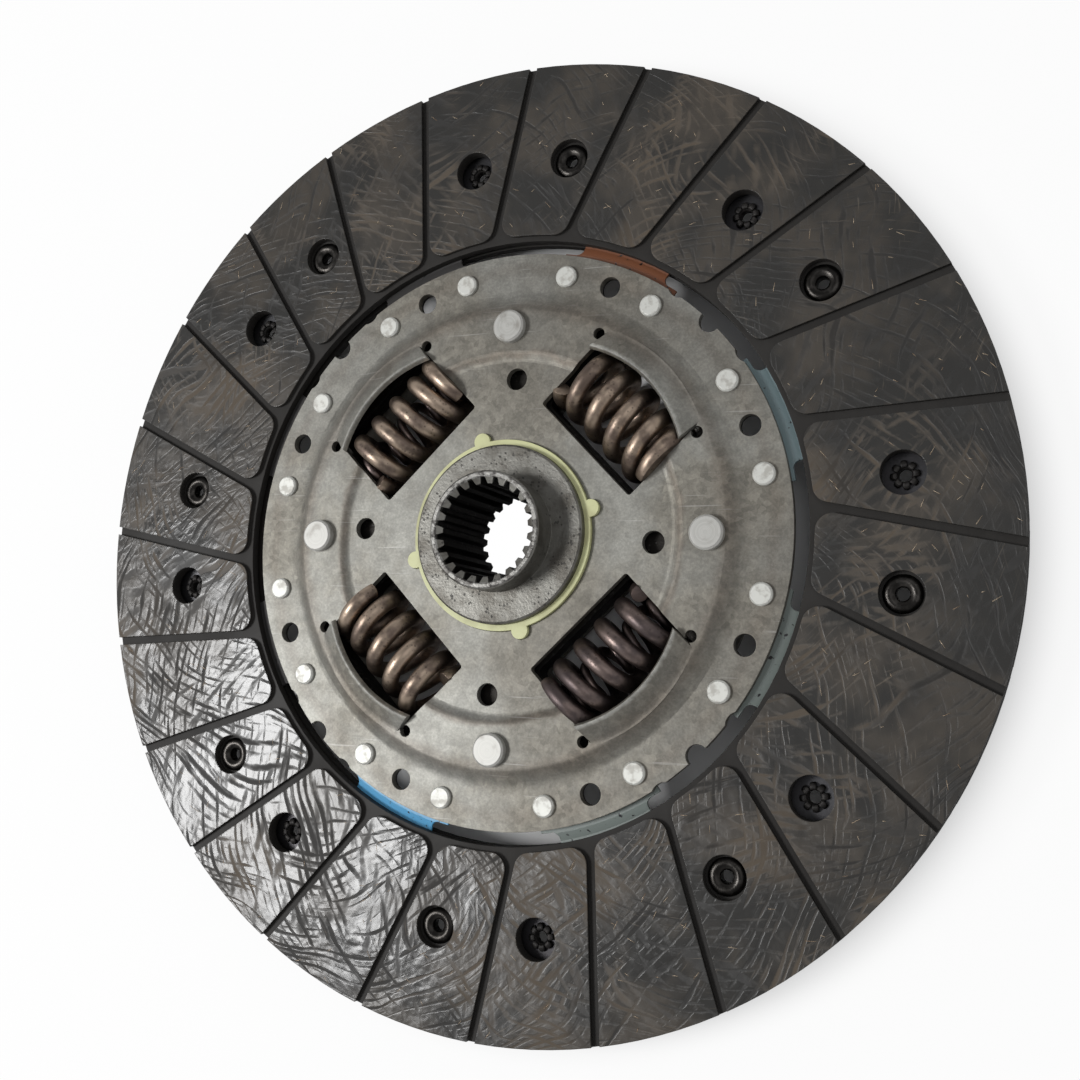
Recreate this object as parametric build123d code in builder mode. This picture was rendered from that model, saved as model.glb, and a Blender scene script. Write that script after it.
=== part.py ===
from build123d import *
import os
from math import asin, atan2, cos, degrees, hypot, pi, radians, sin, sqrt, tan

# A sprung clutch disc. The axis is Z, the rear end of the hub is at Z = 0, and the
# hub's nose points up. The stop pins lie on the X and Y axes, and the damper springs
# lie between them. Every length is in millimetres and every angle in degrees.

# ---- Driving dimensions -------------------------------------------------------

# Friction linings: a base ring that carries slanted pads
lining_outer_radius = 125.0
lining_thickness = 3.5
pad_setback = 1.3
groove_count = 24
groove_width = 2.2
groove_depth = 1.2
groove_offset = 21.6
groove_direction = 4.0
pad_inner_corner = 4.0
pad_leading_corner = 3.0
pad_trailing_corner = 1.4

# Rivets that hold the linings to the cushion segments
lining_rivet_inset = 21.8
lining_rivet_angle = 14.6
lining_rivet_bore_radius = 5.2
lining_rivet_head_radius = 4.5
lining_rivet_head_height = 1.0
lining_rivet_head_edge = 0.35
lining_rivet_shank_radius = 2.4
lining_rivet_hollow_radius = 1.6
lining_rivet_tail_radius = 3.5
lining_rivet_tail_height = 1.1
lining_land = 1.2

# Cushion segments: sheet springs between the two linings
segment_count = 8
segment_thickness = 0.7
segment_joggle = 0.7
segment_travel = 0.9
segment_rim_gap = 1.6
segment_spacing = 3.0
segment_tab_half_angle = 12.6
segment_neck_half_angle = 9.1
segment_tab_inner_margin = 0.8
segment_tab_outer_margin = 0.8
segment_paddle_setback = 2.4
segment_bend_clearance = 0.5
segment_bend_length = 2.0
segment_ramp_length = 6.0
segment_ramp_direction = 12.8
segment_ramp_rivet_distance = 9.84
segment_corner = 5.0
segment_neck_fillet = 1.8

# Rivets that hold the segments to the front plate
plate_rivet_edge_distance = 5.8
plate_rivet_angle = 10.5
plate_rivet_shank_radius = 2.2
plate_rivet_head_radius = 2.8
plate_rivet_head_height = 1.1
plate_rivet_head_edge = 0.4
plate_rivet_tail_radius = 3.3
plate_rivet_tail_height = 1.3
rim_hole_radius = 2.7
rivet_hole_clearance = 0.05

# Retainer plates, front and rear
plate_thickness = 2.0
plate_dish_reach = 2.9
plate_dish_step_width = 2.0
plate_land_margin = 0.8
plate_ramp_width = 3.5
plate_rim_width = 11.4
plate_lining_gap = 3.6
rear_plate_overhang = 1.7
plate_dish_depth = 0.8
plate_rim_drop = 2.2
plate_bend_radius = 2.5
front_plate_bore_radius = 24.6
rear_plate_bore_clearance = 1.8
dish_hole_inset = 2.1
dish_hole_radius = 2.85
dish_hole_angle = -2.9
rim_notch_radius = 2.8
rim_scallop_radius = 3.5
rim_scallop_depth = 0.7
rim_scallop_angle = 9.2

# Spring windows and their curled lips
window_count = 4
window_inner_reach = 12.1
window_outer_reach = 15.9
window_half_width = 17.2
window_corner_radius = 0.8
lip_root_radius = 39.4
lip_edge_radius = 35.0
lip_height = 2.5
lip_edge_thickness = 1.4
lip_root_overlap = 1.2
lip_side_gap = 0.2
relief_hole_radius = 1.5
relief_hole_side_step = 1.3
relief_hole_setback = 0.6

# Damper springs and the inner springs that two of them hold
spring_distance = 42.6
spring_outer_radius = 10.3
spring_wire_radius = 2.2
spring_end_clearance = 0.05
spring_turns = 5.0
spring_closed_turns = 0.75
spring_closed_pitch = 4.5
spring_ground_depth = 1.0
spring_start_turn = 0.13
inner_spring_outer_radius = 5.3
inner_spring_wire_radius = 1.15
inner_spring_turns = 7.5
inner_spring_closed_pitch = 2.5
inner_spring_ground_depth = 0.5
spring_points_per_turn = 12

# Stop pins
pin_inset = 5.2
pin_body_radius = 4.0
pin_shank_radius = 3.0
pin_head_radius = 4.25
pin_head_height = 2.05
pin_tail_height = 1.6
pin_head_edge = 0.5

# Hub
hub_front_length = 17.3
hub_rear_length = 10.8
hub_collar_radius = 22.9
hub_collar_height = 9.2
hub_nose_radius = 14.9
hub_rear_radius = 19.0
hub_nose_fillet = 1.0
hub_edge_chamfer = 0.5
hub_flange_clearance = 1.8
hub_flange_thickness = 5.0
hub_window_inner_reach = 11.4
hub_window_outer_reach = 12.0
hub_window_corner = 1.5
stop_notch_floor_clearance = 0.9
stop_notch_corner = 3.0
stop_clearance = 0.35
twist_limit = 9.0

# Splined bore
spline_teeth = 23
spline_root_radius = 13.3
spline_tip_radius = 11.65
spline_root_gap = 1.15
spline_tip_gap = 2.15
spline_lead_radius = 13.55
spline_lead_depth = 1.1

# Bush and friction pack
bush_clearance = 0.06
bush_plate_clearance = 0.1
bush_stand = 1.1
bush_flange_margin = 1.2
bush_flange_thickness = 1.45
bush_lug_radius = 2.2
bush_lug_circle_radius = 25.0
bush_lug_angle = 15.0
axial_play = 0.05
friction_washer_thickness = 1.2
pressure_plate_thickness = 0.8
pressure_plate_clearance = 0.4
pressure_tab_width = 5.0
pressure_tab_clearance = 0.3
cone_spring_inner_radius = 22.4
cone_spring_margin = 1.4
cone_spring_thickness = 0.6

# ---- Radii, from the springs' circle out to the linings -----------------------

window_inner_distance = spring_distance - window_inner_reach
window_outer_distance = spring_distance + window_outer_reach
lip_centre_distance = window_outer_distance - lip_root_radius
plate_dish_outer_radius = spring_distance + plate_dish_reach
plate_land_inner_radius = plate_dish_outer_radius + plate_dish_step_width
plate_land_outer_radius = window_outer_distance + plate_land_margin
plate_rim_inner_radius = plate_land_outer_radius + plate_ramp_width
front_plate_radius = plate_rim_inner_radius + plate_rim_width
rear_plate_radius = plate_rim_inner_radius + rear_plate_overhang
lining_inner_radius = front_plate_radius + plate_lining_gap
pad_inner_radius = lining_inner_radius + pad_setback

# What is placed on those rings
dish_hole_circle_radius = spring_distance - dish_hole_inset
pin_circle_radius = plate_land_outer_radius - pin_inset
plate_rivet_circle_radius = front_plate_radius - plate_rivet_edge_distance
lining_rivet_circle_radius = lining_inner_radius + lining_rivet_inset
segment_tab_inner_radius = plate_rim_inner_radius + segment_tab_inner_margin
segment_tab_outer_radius = front_plate_radius + segment_tab_outer_margin
segment_paddle_inner_radius = lining_inner_radius + segment_paddle_setback

# The hub's flange and the pieces that rub on it
hub_flange_radius = plate_rim_inner_radius - hub_flange_clearance
hub_window_inner_distance = spring_distance - hub_window_inner_reach
hub_window_outer_distance = spring_distance + hub_window_outer_reach
stop_notch_floor = pin_circle_radius - pin_body_radius - stop_notch_floor_clearance
bush_flange_radius = hub_window_inner_distance - bush_flange_margin
friction_washer_radius = bush_flange_radius
pressure_plate_radius = bush_flange_radius
cone_spring_outer_radius = pressure_plate_radius - cone_spring_margin

# ---- Heights along the axis ---------------------------------------------------

flange_middle = hub_rear_length
flange_top = flange_middle + hub_flange_thickness / 2
flange_bottom = flange_middle - hub_flange_thickness / 2

# Front plate: the dish floor, the raised land round it and the lower rim
front_dish_bottom = flange_top + axial_play + bush_flange_thickness
front_dish_top = front_dish_bottom + plate_thickness
front_land_top = front_dish_top + plate_dish_depth
front_rim_top = front_land_top - plate_rim_drop
front_rim_bottom = front_rim_top - plate_thickness

# Rear plate: its land mirrors the front one about the flange's middle
rear_land_top = 2 * flange_middle - front_land_top + plate_thickness
rear_land_bottom = rear_land_top - plate_thickness
rear_dish_top = rear_land_top - plate_dish_depth

# Segments and linings
segment_tab_bottom = front_rim_bottom - segment_thickness
segment_front_top = front_rim_bottom - segment_joggle
segment_rear_bottom = segment_front_top - segment_travel - segment_thickness
front_lining_back = segment_front_top
rear_lining_back = segment_rear_bottom

# Friction pack, from the flange down to the rear plate
friction_washer_bottom = flange_bottom - axial_play - friction_washer_thickness
pressure_plate_bottom = friction_washer_bottom - pressure_plate_thickness

# ---- Other values worked out from the driving dimensions ----------------------

quarter_turn = 360 / window_count
window_direction = quarter_turn / 2
segment_pitch = 360 / segment_count
groove_pitch = 360 / groove_count
groove_length = 2 * (lining_outer_radius - lining_inner_radius / 2)
spring_coil_radius = spring_outer_radius - spring_wire_radius
inner_spring_coil_radius = inner_spring_outer_radius - inner_spring_wire_radius
spring_half_length = window_half_width - spring_end_clearance
stop_swing = pin_circle_radius * sin(radians(twist_limit))
stop_notch_half_width = stop_swing + pin_body_radius + stop_clearance
hub_rear_bore_radius = hub_rear_radius + rear_plate_bore_clearance

os.makedirs("parts", exist_ok=True)


# ---- Friction linings ---------------------------------------------------------


def groove_polar(radius):
    """Angle at which the first groove's centre line crosses a radius."""
    return groove_direction + degrees(asin(groove_offset / radius))


def vertex_radius(vertex):
    """Distance of a vertex from the disc's axis."""
    return hypot(vertex.X, vertex.Y)


def corner_share(vertex):
    """How far round its pad a corner of the outer edge lies, from 0 to 1."""
    angle = degrees(atan2(vertex.Y, vertex.X)) - groove_polar(lining_outer_radius)
    return (angle % groove_pitch) / groove_pitch


# One lining, with its back on Z = 0 and its pads on top
with BuildPart() as lining_blank:
    with BuildSketch():
        Circle(lining_outer_radius)
        Circle(lining_inner_radius, mode=Mode.SUBTRACT)
    extrude(amount=lining_thickness - groove_depth)
    with BuildSketch(Plane.XY.offset(lining_thickness - groove_depth)) as pads:
        Circle(lining_outer_radius)
        Circle(pad_inner_radius, mode=Mode.SUBTRACT)
        with PolarLocations(0, groove_count, start_angle=groove_direction):
            with Locations((lining_outer_radius, groove_offset)):
                Rectangle(groove_length, groove_width, mode=Mode.SUBTRACT)
        middle_radius = (lining_outer_radius + pad_inner_radius) / 2
        inner_corners = pads.vertices().filter_by(lambda v: vertex_radius(v) < middle_radius)
        outer_corners = pads.vertices().filter_by(lambda v: vertex_radius(v) > middle_radius)
        leading_corners = outer_corners.filter_by(lambda v: corner_share(v) > 0.5)
        trailing_corners = outer_corners.filter_by(lambda v: corner_share(v) < 0.5)
        fillet(inner_corners, pad_inner_corner)
        fillet(leading_corners, pad_leading_corner)
        fillet(trailing_corners, pad_trailing_corner)
    extrude(amount=groove_depth)
    # Deep counterbores take this lining's own rivet heads
    with BuildSketch(Plane.XY.offset(lining_land)):
        with PolarLocations(lining_rivet_circle_radius, segment_count,
                            start_angle=segment_pitch / 2 + lining_rivet_angle):
            Circle(lining_rivet_bore_radius)
    extrude(amount=lining_thickness, mode=Mode.SUBTRACT)
    with BuildSketch():
        # Shank holes under the heads, and wide holes over the other lining's rivets
        with PolarLocations(lining_rivet_circle_radius, segment_count,
                            start_angle=segment_pitch / 2 + lining_rivet_angle):
            Circle(lining_rivet_shank_radius + rivet_hole_clearance)
        with PolarLocations(lining_rivet_circle_radius, segment_count,
                            start_angle=segment_pitch / 2 - lining_rivet_angle):
            Circle(lining_rivet_bore_radius)
    extrude(amount=lining_thickness, mode=Mode.SUBTRACT)

with BuildPart() as front_lining:
    with Locations((0, 0, front_lining_back)):
        add(lining_blank.part)
front_lining.part.label = "front_lining"
export_step(front_lining.part, "parts/front_lining.step")

# The rear lining is the same piece turned over about the X axis
with BuildPart() as rear_lining:
    with Locations(Location((0, 0, rear_lining_back), (180, 0, 0))):
        add(lining_blank.part)
rear_lining.part.label = "rear_lining"
export_step(rear_lining.part, "parts/rear_lining.step")


# ---- Lining rivets ------------------------------------------------------------

# A hollow rivet along Z: its domed head sits on Z = 0 and its tail rolls out below
lining_rivet_grip = lining_land + segment_thickness
with BuildPart() as lining_rivet_blank:
    with BuildSketch(Plane.XZ):
        with BuildLine():
            crest_radius = (lining_rivet_head_radius + lining_rivet_hollow_radius) / 2
            ThreePointArc(
                (lining_rivet_hollow_radius, lining_rivet_head_edge),
                (crest_radius, lining_rivet_head_height),
                (lining_rivet_head_radius, lining_rivet_head_edge),
            )
            Polyline(
                (lining_rivet_head_radius, lining_rivet_head_edge),
                (lining_rivet_head_radius, 0),
                (lining_rivet_shank_radius, 0),
                (lining_rivet_shank_radius, -lining_rivet_grip),
                (lining_rivet_tail_radius, -lining_rivet_grip),
                (lining_rivet_tail_radius, -lining_rivet_grip - lining_rivet_tail_height / 2),
                (lining_rivet_hollow_radius, -lining_rivet_grip - lining_rivet_tail_height),
                (lining_rivet_hollow_radius, lining_rivet_head_edge),
            )
        make_face()
    revolve(axis=Axis.Z)

with BuildPart() as front_lining_rivets:
    with Locations((0, 0, front_lining_back + lining_land)):
        with PolarLocations(lining_rivet_circle_radius, segment_count,
                            start_angle=segment_pitch / 2 + lining_rivet_angle):
            add(lining_rivet_blank.part)
front_lining_rivets.part.label = "front_lining_rivets"
export_step(front_lining_rivets.part, "parts/front_lining_rivets.step")

with BuildPart() as rear_lining_rivets:
    with Locations(Location((0, 0, rear_lining_back - lining_land), (180, 0, 0))):
        with PolarLocations(lining_rivet_circle_radius, segment_count,
                            start_angle=segment_pitch / 2 + lining_rivet_angle):
            add(lining_rivet_blank.part)
rear_lining_rivets.part.label = "rear_lining_rivets"
export_step(rear_lining_rivets.part, "parts/rear_lining_rivets.step")


# ---- Cushion segments ---------------------------------------------------------


def ring_sector(inner_radius, outer_radius, half_angle):
    """A sector of a flat ring, centred on the X axis."""
    with BuildSketch() as sector:
        with BuildLine():
            outer = CenterArc((0, 0), outer_radius, -half_angle, 2 * half_angle)
            inner = CenterArc((0, 0), inner_radius, -half_angle, 2 * half_angle)
            Line(outer @ 0, inner @ 0)
            Line(outer @ 1, inner @ 1)
        make_face()
    return sector.sketch


paddle_outer_radius = lining_outer_radius - segment_rim_gap
paddle_half_angle = segment_pitch / 2 - degrees(
    asin(segment_spacing / 2 / lining_rivet_circle_radius)
)

with BuildSketch() as segment_outline:
    add(ring_sector(segment_tab_inner_radius, segment_tab_outer_radius, segment_tab_half_angle))
    add(ring_sector(plate_rivet_circle_radius, lining_rivet_circle_radius, segment_neck_half_angle))
    add(ring_sector(segment_paddle_inner_radius, paddle_outer_radius, paddle_half_angle))
    neck_corners = segment_outline.vertices().filter_by(
        lambda v: abs(degrees(atan2(v.Y, v.X))) < segment_neck_half_angle + 0.5
    )
    fillet(neck_corners, segment_neck_fillet)
    paddle_corners = segment_outline.vertices().filter_by(
        lambda v: abs(degrees(atan2(v.Y, v.X))) > segment_tab_half_angle + 3
    )
    fillet(paddle_corners, segment_corner)
    # The holes of the plate rivets, the middle hole and the two lining rivets
    for side in (-1, 1):
        with PolarLocations(plate_rivet_circle_radius, 1, start_angle=side * plate_rivet_angle):
            Circle(plate_rivet_shank_radius + rivet_hole_clearance, mode=Mode.SUBTRACT)
        with PolarLocations(lining_rivet_circle_radius, 1, start_angle=side * lining_rivet_angle):
            Circle(lining_rivet_shank_radius + rivet_hole_clearance, mode=Mode.SUBTRACT)
    with Locations((plate_rivet_circle_radius, 0)):
        Circle(rim_hole_radius, mode=Mode.SUBTRACT)

# The sheet's radial section: a flat tab, a joggle and the level of the front half
bend_end = lining_inner_radius - segment_bend_clearance
bend_start = bend_end - segment_bend_length
with BuildPart() as segment_front_half:
    with BuildSketch(Plane.XZ):
        with BuildLine():
            upper = [
                (segment_tab_inner_radius / 2, front_rim_bottom),
                (bend_start, front_rim_bottom),
                (bend_end, segment_front_top),
                (lining_outer_radius, segment_front_top),
            ]
            lower = [(r, z - segment_thickness) for r, z in reversed(upper)]
            Polyline(*upper, *lower, close=True)
        make_face()
    revolve(axis=Axis.Z)
    extrude(segment_outline.sketch, amount=front_rim_top, mode=Mode.INTERSECT)

# The section across the ramp that drops the other half onto the rear lining
ramp_along = (cos(radians(segment_ramp_direction)), sin(radians(segment_ramp_direction)), 0)
ramp_across = (-ramp_along[1], ramp_along[0], 0)
ramp_plane = Plane(origin=(0, 0, 0), x_dir=ramp_across, z_dir=ramp_along)
rear_rivet_angle = radians(lining_rivet_angle + segment_ramp_direction)
ramp_middle = segment_ramp_rivet_distance - lining_rivet_circle_radius * sin(rear_rivet_angle)
ramp_start = ramp_middle + segment_ramp_length / 2
ramp_end = ramp_middle - segment_ramp_length / 2
with BuildPart() as segment_rear_half:
    with BuildSketch(ramp_plane):
        with BuildLine():
            upper = [
                (ramp_start, segment_front_top),
                (ramp_end, segment_front_top - segment_travel),
                (-lining_outer_radius, segment_front_top - segment_travel),
            ]
            lower = [(v, z - segment_thickness) for v, z in reversed(upper)]
            Polyline(*upper, *lower, close=True)
        make_face()
    extrude(amount=lining_outer_radius)
    extrude(segment_outline.sketch, amount=front_rim_top, mode=Mode.INTERSECT)

with BuildPart() as segment_blank:
    add(segment_front_half.part)
    split(bisect_by=Plane(origin=tuple(ramp_start * c for c in ramp_across), z_dir=ramp_across))
    add(segment_rear_half.part)

for index in range(segment_count):
    with BuildPart() as cushion_segment:
        with PolarLocations(0, 1, start_angle=segment_pitch * (index + 0.5)):
            add(segment_blank.part)
    cushion_segment.part.label = f"cushion_segment_{index + 1}"
    export_step(cushion_segment.part, f"parts/cushion_segment_{index + 1}.step")


# ---- Rivets that hold the segments to the front plate --------------------------

with BuildPart() as plate_rivet_blank:
    with BuildSketch(Plane.XZ):
        with BuildLine():
            head_top = front_rim_top + plate_rivet_head_height
            tail_end = segment_tab_bottom - plate_rivet_tail_height
            Polyline(
                (0, head_top),
                (plate_rivet_head_radius - plate_rivet_head_edge, head_top),
                (plate_rivet_head_radius, head_top - plate_rivet_head_edge),
                (plate_rivet_head_radius, front_rim_top),
                (plate_rivet_shank_radius, front_rim_top),
                (plate_rivet_shank_radius, segment_tab_bottom),
                (plate_rivet_tail_radius, segment_tab_bottom),
                (plate_rivet_tail_radius - plate_rivet_head_edge, tail_end),
                (0, tail_end),
                close=True,
            )
        make_face()
    revolve(axis=Axis.Z)

with BuildPart() as plate_rivets:
    for side in (-1, 1):
        with PolarLocations(plate_rivet_circle_radius, segment_count,
                            start_angle=segment_pitch / 2 + side * plate_rivet_angle):
            add(plate_rivet_blank.part)
plate_rivets.part.label = "plate_rivets"
export_step(plate_rivets.part, "parts/plate_rivets.step")


# ---- Retainer plates ----------------------------------------------------------


def bent_sheet_outline(upper):
    """The closed outline of a bent plate's section, from the corners of its upper face."""
    lower = [(r, z - plate_thickness) for r, z in reversed(upper)]
    top = FilletPolyline(*upper, radius=plate_bend_radius)
    bottom = FilletPolyline(*lower, radius=plate_bend_radius)
    Line(top @ 1, bottom @ 0)
    Line(bottom @ 1, top @ 0)


# The opening of one spring window, centred on the X axis
with BuildSketch() as window_opening:
    with Locations(((window_inner_distance + window_outer_distance) / 2, 0)):
        Rectangle(window_outer_distance - window_inner_distance, 2 * window_half_width)
    inner_window_corners = window_opening.vertices().group_by(Axis.X)[0]
    fillet(inner_window_corners, window_corner_radius)
    with Locations((lip_centre_distance, 0)):
        Circle(lip_root_radius, mode=Mode.INTERSECT)
    # Relief holes free the ends of the lip
    relief_radius = lip_root_radius - relief_hole_setback
    relief_side = window_half_width + relief_hole_side_step
    relief_reach = lip_centre_distance + sqrt(relief_radius**2 - relief_side**2)
    with Locations((relief_reach, relief_side), (relief_reach, -relief_side)):
        Circle(relief_hole_radius)

# The lip that curls up over the spring, a sector of a cone about its own centre
with BuildPart() as window_lip:
    with BuildSketch(Plane.XZ):
        with BuildLine():
            lip_run = lip_root_radius - lip_edge_radius
            lip_slope = atan2(lip_height, lip_run)
            root = window_outer_distance
            edge = lip_centre_distance + lip_edge_radius
            edge_top = front_land_top + lip_height
            under_edge = edge - lip_edge_thickness * sin(lip_slope)
            under_edge_top = edge_top - lip_edge_thickness * cos(lip_slope)
            under_root = root - plate_thickness * tan(lip_slope / 2)
            upper = FilletPolyline(
                (root + lip_root_overlap, front_land_top),
                (root, front_land_top),
                (edge, edge_top),
                radius=plate_bend_radius,
            )
            Polyline(
                upper @ 1,
                (under_edge, under_edge_top),
                (under_root, front_land_top - plate_thickness),
                (root + lip_root_overlap, front_land_top - plate_thickness),
                upper @ 0,
            )
        make_face()
    revolve(axis=Axis((lip_centre_distance, 0, 0), (0, 0, 1)))
    with BuildSketch(Plane.XY.offset(front_land_top - 2 * plate_thickness)):
        with Locations((window_outer_distance, 0)):
            Rectangle(lip_root_radius, 2 * (window_half_width - lip_side_gap))
    extrude(amount=4 * plate_thickness, mode=Mode.INTERSECT)

with BuildPart() as front_retainer_plate:
    with BuildSketch(Plane.XZ):
        with BuildLine():
            bent_sheet_outline([
                (front_plate_bore_radius, front_dish_top),
                (plate_dish_outer_radius, front_dish_top),
                (plate_land_inner_radius, front_land_top),
                (plate_land_outer_radius, front_land_top),
                (plate_rim_inner_radius, front_rim_top),
                (front_plate_radius, front_rim_top),
            ])
        make_face()
    revolve(axis=Axis.Z)
    with BuildSketch(Plane.XY.offset(front_rim_bottom)):
        with PolarLocations(0, window_count, start_angle=window_direction):
            add(window_opening.sketch)
            with Locations((front_plate_radius, 0)):
                Circle(rim_notch_radius)
            for side in (-1, 1):
                with PolarLocations(front_plate_radius + rim_scallop_radius - rim_scallop_depth,
                                    1, start_angle=side * rim_scallop_angle):
                    Circle(rim_scallop_radius)
        for side in (-1, 1):
            with PolarLocations(plate_rivet_circle_radius, segment_count,
                                start_angle=segment_pitch / 2 + side * plate_rivet_angle):
                Circle(plate_rivet_shank_radius + rivet_hole_clearance)
        with PolarLocations(plate_rivet_circle_radius, segment_count, start_angle=segment_pitch / 2):
            Circle(rim_hole_radius)
        with PolarLocations(dish_hole_circle_radius, window_count, start_angle=dish_hole_angle):
            Circle(dish_hole_radius)
        with PolarLocations(pin_circle_radius, window_count):
            Circle(pin_shank_radius + rivet_hole_clearance)
        with PolarLocations(bush_lug_circle_radius, window_count, start_angle=bush_lug_angle):
            Circle(bush_lug_radius + bush_plate_clearance)
    extrude(amount=front_land_top, mode=Mode.SUBTRACT)
    with PolarLocations(0, window_count, start_angle=window_direction):
        add(window_lip.part)
front_retainer_plate.part.label = "front_retainer_plate"
export_step(front_retainer_plate.part, "parts/front_retainer_plate.step")

with BuildPart() as rear_retainer_plate:
    with BuildSketch(Plane.XZ):
        with BuildLine():
            bent_sheet_outline([
                (hub_rear_bore_radius, rear_dish_top),
                (plate_dish_outer_radius, rear_dish_top),
                (plate_land_inner_radius, rear_land_top),
                (rear_plate_radius, rear_land_top),
            ])
        make_face()
    revolve(axis=Axis.Z)
    with BuildSketch():
        with PolarLocations(0, window_count, start_angle=window_direction):
            add(window_opening.sketch)
        with PolarLocations(dish_hole_circle_radius, window_count, start_angle=dish_hole_angle):
            Circle(dish_hole_radius)
        with PolarLocations(pin_circle_radius, window_count):
            Circle(pin_shank_radius + rivet_hole_clearance)
        # Slots for the pressure plate's tabs
        with PolarLocations(pressure_plate_radius - pressure_plate_thickness / 2, window_count):
            Rectangle(pressure_plate_thickness + 2 * pressure_tab_clearance,
                      pressure_tab_width + 2 * pressure_tab_clearance)
    extrude(amount=rear_land_top, mode=Mode.SUBTRACT)
    # The rear lips are the front ones turned over about the flange's middle
    with Locations(Location((0, 0, 2 * flange_middle), (180, 0, 0))):
        with PolarLocations(0, window_count, start_angle=window_direction):
            add(window_lip.part)
rear_retainer_plate.part.label = "rear_retainer_plate"
export_step(rear_retainer_plate.part, "parts/rear_retainer_plate.step")


# ---- Stop pins ----------------------------------------------------------------

with BuildPart() as stop_pin_blank:
    with BuildSketch(Plane.XZ):
        with BuildLine():
            head_top = front_land_top + pin_head_height
            tail_end = rear_land_bottom - pin_tail_height
            Polyline(
                (0, head_top),
                (pin_head_radius - pin_head_edge, head_top),
                (pin_head_radius, head_top - pin_head_edge),
                (pin_head_radius, front_land_top),
                (pin_shank_radius, front_land_top),
                (pin_shank_radius, front_land_top - plate_thickness),
                (pin_body_radius, front_land_top - plate_thickness),
                (pin_body_radius, rear_land_top),
                (pin_shank_radius, rear_land_top),
                (pin_shank_radius, rear_land_bottom),
                (pin_head_radius, rear_land_bottom),
                (pin_head_radius, tail_end + pin_head_edge),
                (pin_head_radius - pin_head_edge, tail_end),
                (0, tail_end),
                close=True,
            )
        make_face()
    revolve(axis=Axis.Z)

for index in range(window_count):
    with BuildPart() as stop_pin:
        with PolarLocations(pin_circle_radius, 1, start_angle=quarter_turn * index):
            add(stop_pin_blank.part)
    stop_pin.part.label = f"stop_pin_{index + 1}"
    export_step(stop_pin.part, f"parts/stop_pin_{index + 1}.step")


# ---- Damper springs -----------------------------------------------------------


def coil_points(coil_radius, half_length, turns, closed_turns, closed_pitch, hand):
    """Points of a coil with closed ends; its axis is parallel to Y in its window."""
    open_turns = turns - 2 * closed_turns
    open_pitch = (2 * half_length - 2 * closed_turns * closed_pitch) / open_turns
    points = []
    for step in range(round(turns * spring_points_per_turn) + 1):
        turn = step / spring_points_per_turn
        closed = min(turn, closed_turns) + max(turn - turns + closed_turns, 0)
        along = -half_length + closed * closed_pitch + (turn - closed) * open_pitch
        angle = 2 * pi * (turn - spring_start_turn)
        across = hand * coil_radius * sin(angle)
        points.append((spring_distance + across, along, flange_middle + coil_radius * cos(angle)))
    return points


def coil_spring(coil_radius, wire_radius, turns, closed_pitch, ground_depth, hand):
    """A coil spring with closed, ground ends, in the window on the X axis."""
    centreline = coil_points(coil_radius, spring_half_length - ground_depth, turns,
                             spring_closed_turns, closed_pitch, hand)
    with BuildPart() as spring:
        with BuildLine() as coil:
            Spline(*centreline)
        with BuildSketch(Plane(origin=coil.line @ 0, z_dir=coil.line % 0)):
            Circle(wire_radius)
        sweep(path=coil.line, is_frenet=True)
        with Locations((spring_distance, 0, flange_middle)):
            Box(4 * coil_radius, 2 * spring_half_length, 4 * coil_radius, mode=Mode.INTERSECT)
    return spring.part


damper_spring_blank = coil_spring(spring_coil_radius, spring_wire_radius, spring_turns,
                                  spring_closed_pitch, spring_ground_depth, 1)
inner_spring_blank = coil_spring(inner_spring_coil_radius, inner_spring_wire_radius,
                                 inner_spring_turns, inner_spring_closed_pitch,
                                 inner_spring_ground_depth, -1)

for index in range(window_count):
    window_angle = window_direction + quarter_turn * index
    with BuildPart() as damper_spring:
        with PolarLocations(0, 1, start_angle=window_angle):
            add(damper_spring_blank)
    damper_spring.part.label = f"damper_spring_{index + 1}"
    export_step(damper_spring.part, f"parts/damper_spring_{index + 1}.step")
    # Two opposite windows hold an inner spring as well
    if index % 2 == 1:
        with BuildPart() as inner_spring:
            with PolarLocations(0, 1, start_angle=window_angle):
                add(inner_spring_blank)
        inner_spring.part.label = f"inner_spring_{index + 1}"
        export_step(inner_spring.part, f"parts/inner_spring_{index + 1}.step")


# ---- Hub ----------------------------------------------------------------------

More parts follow.
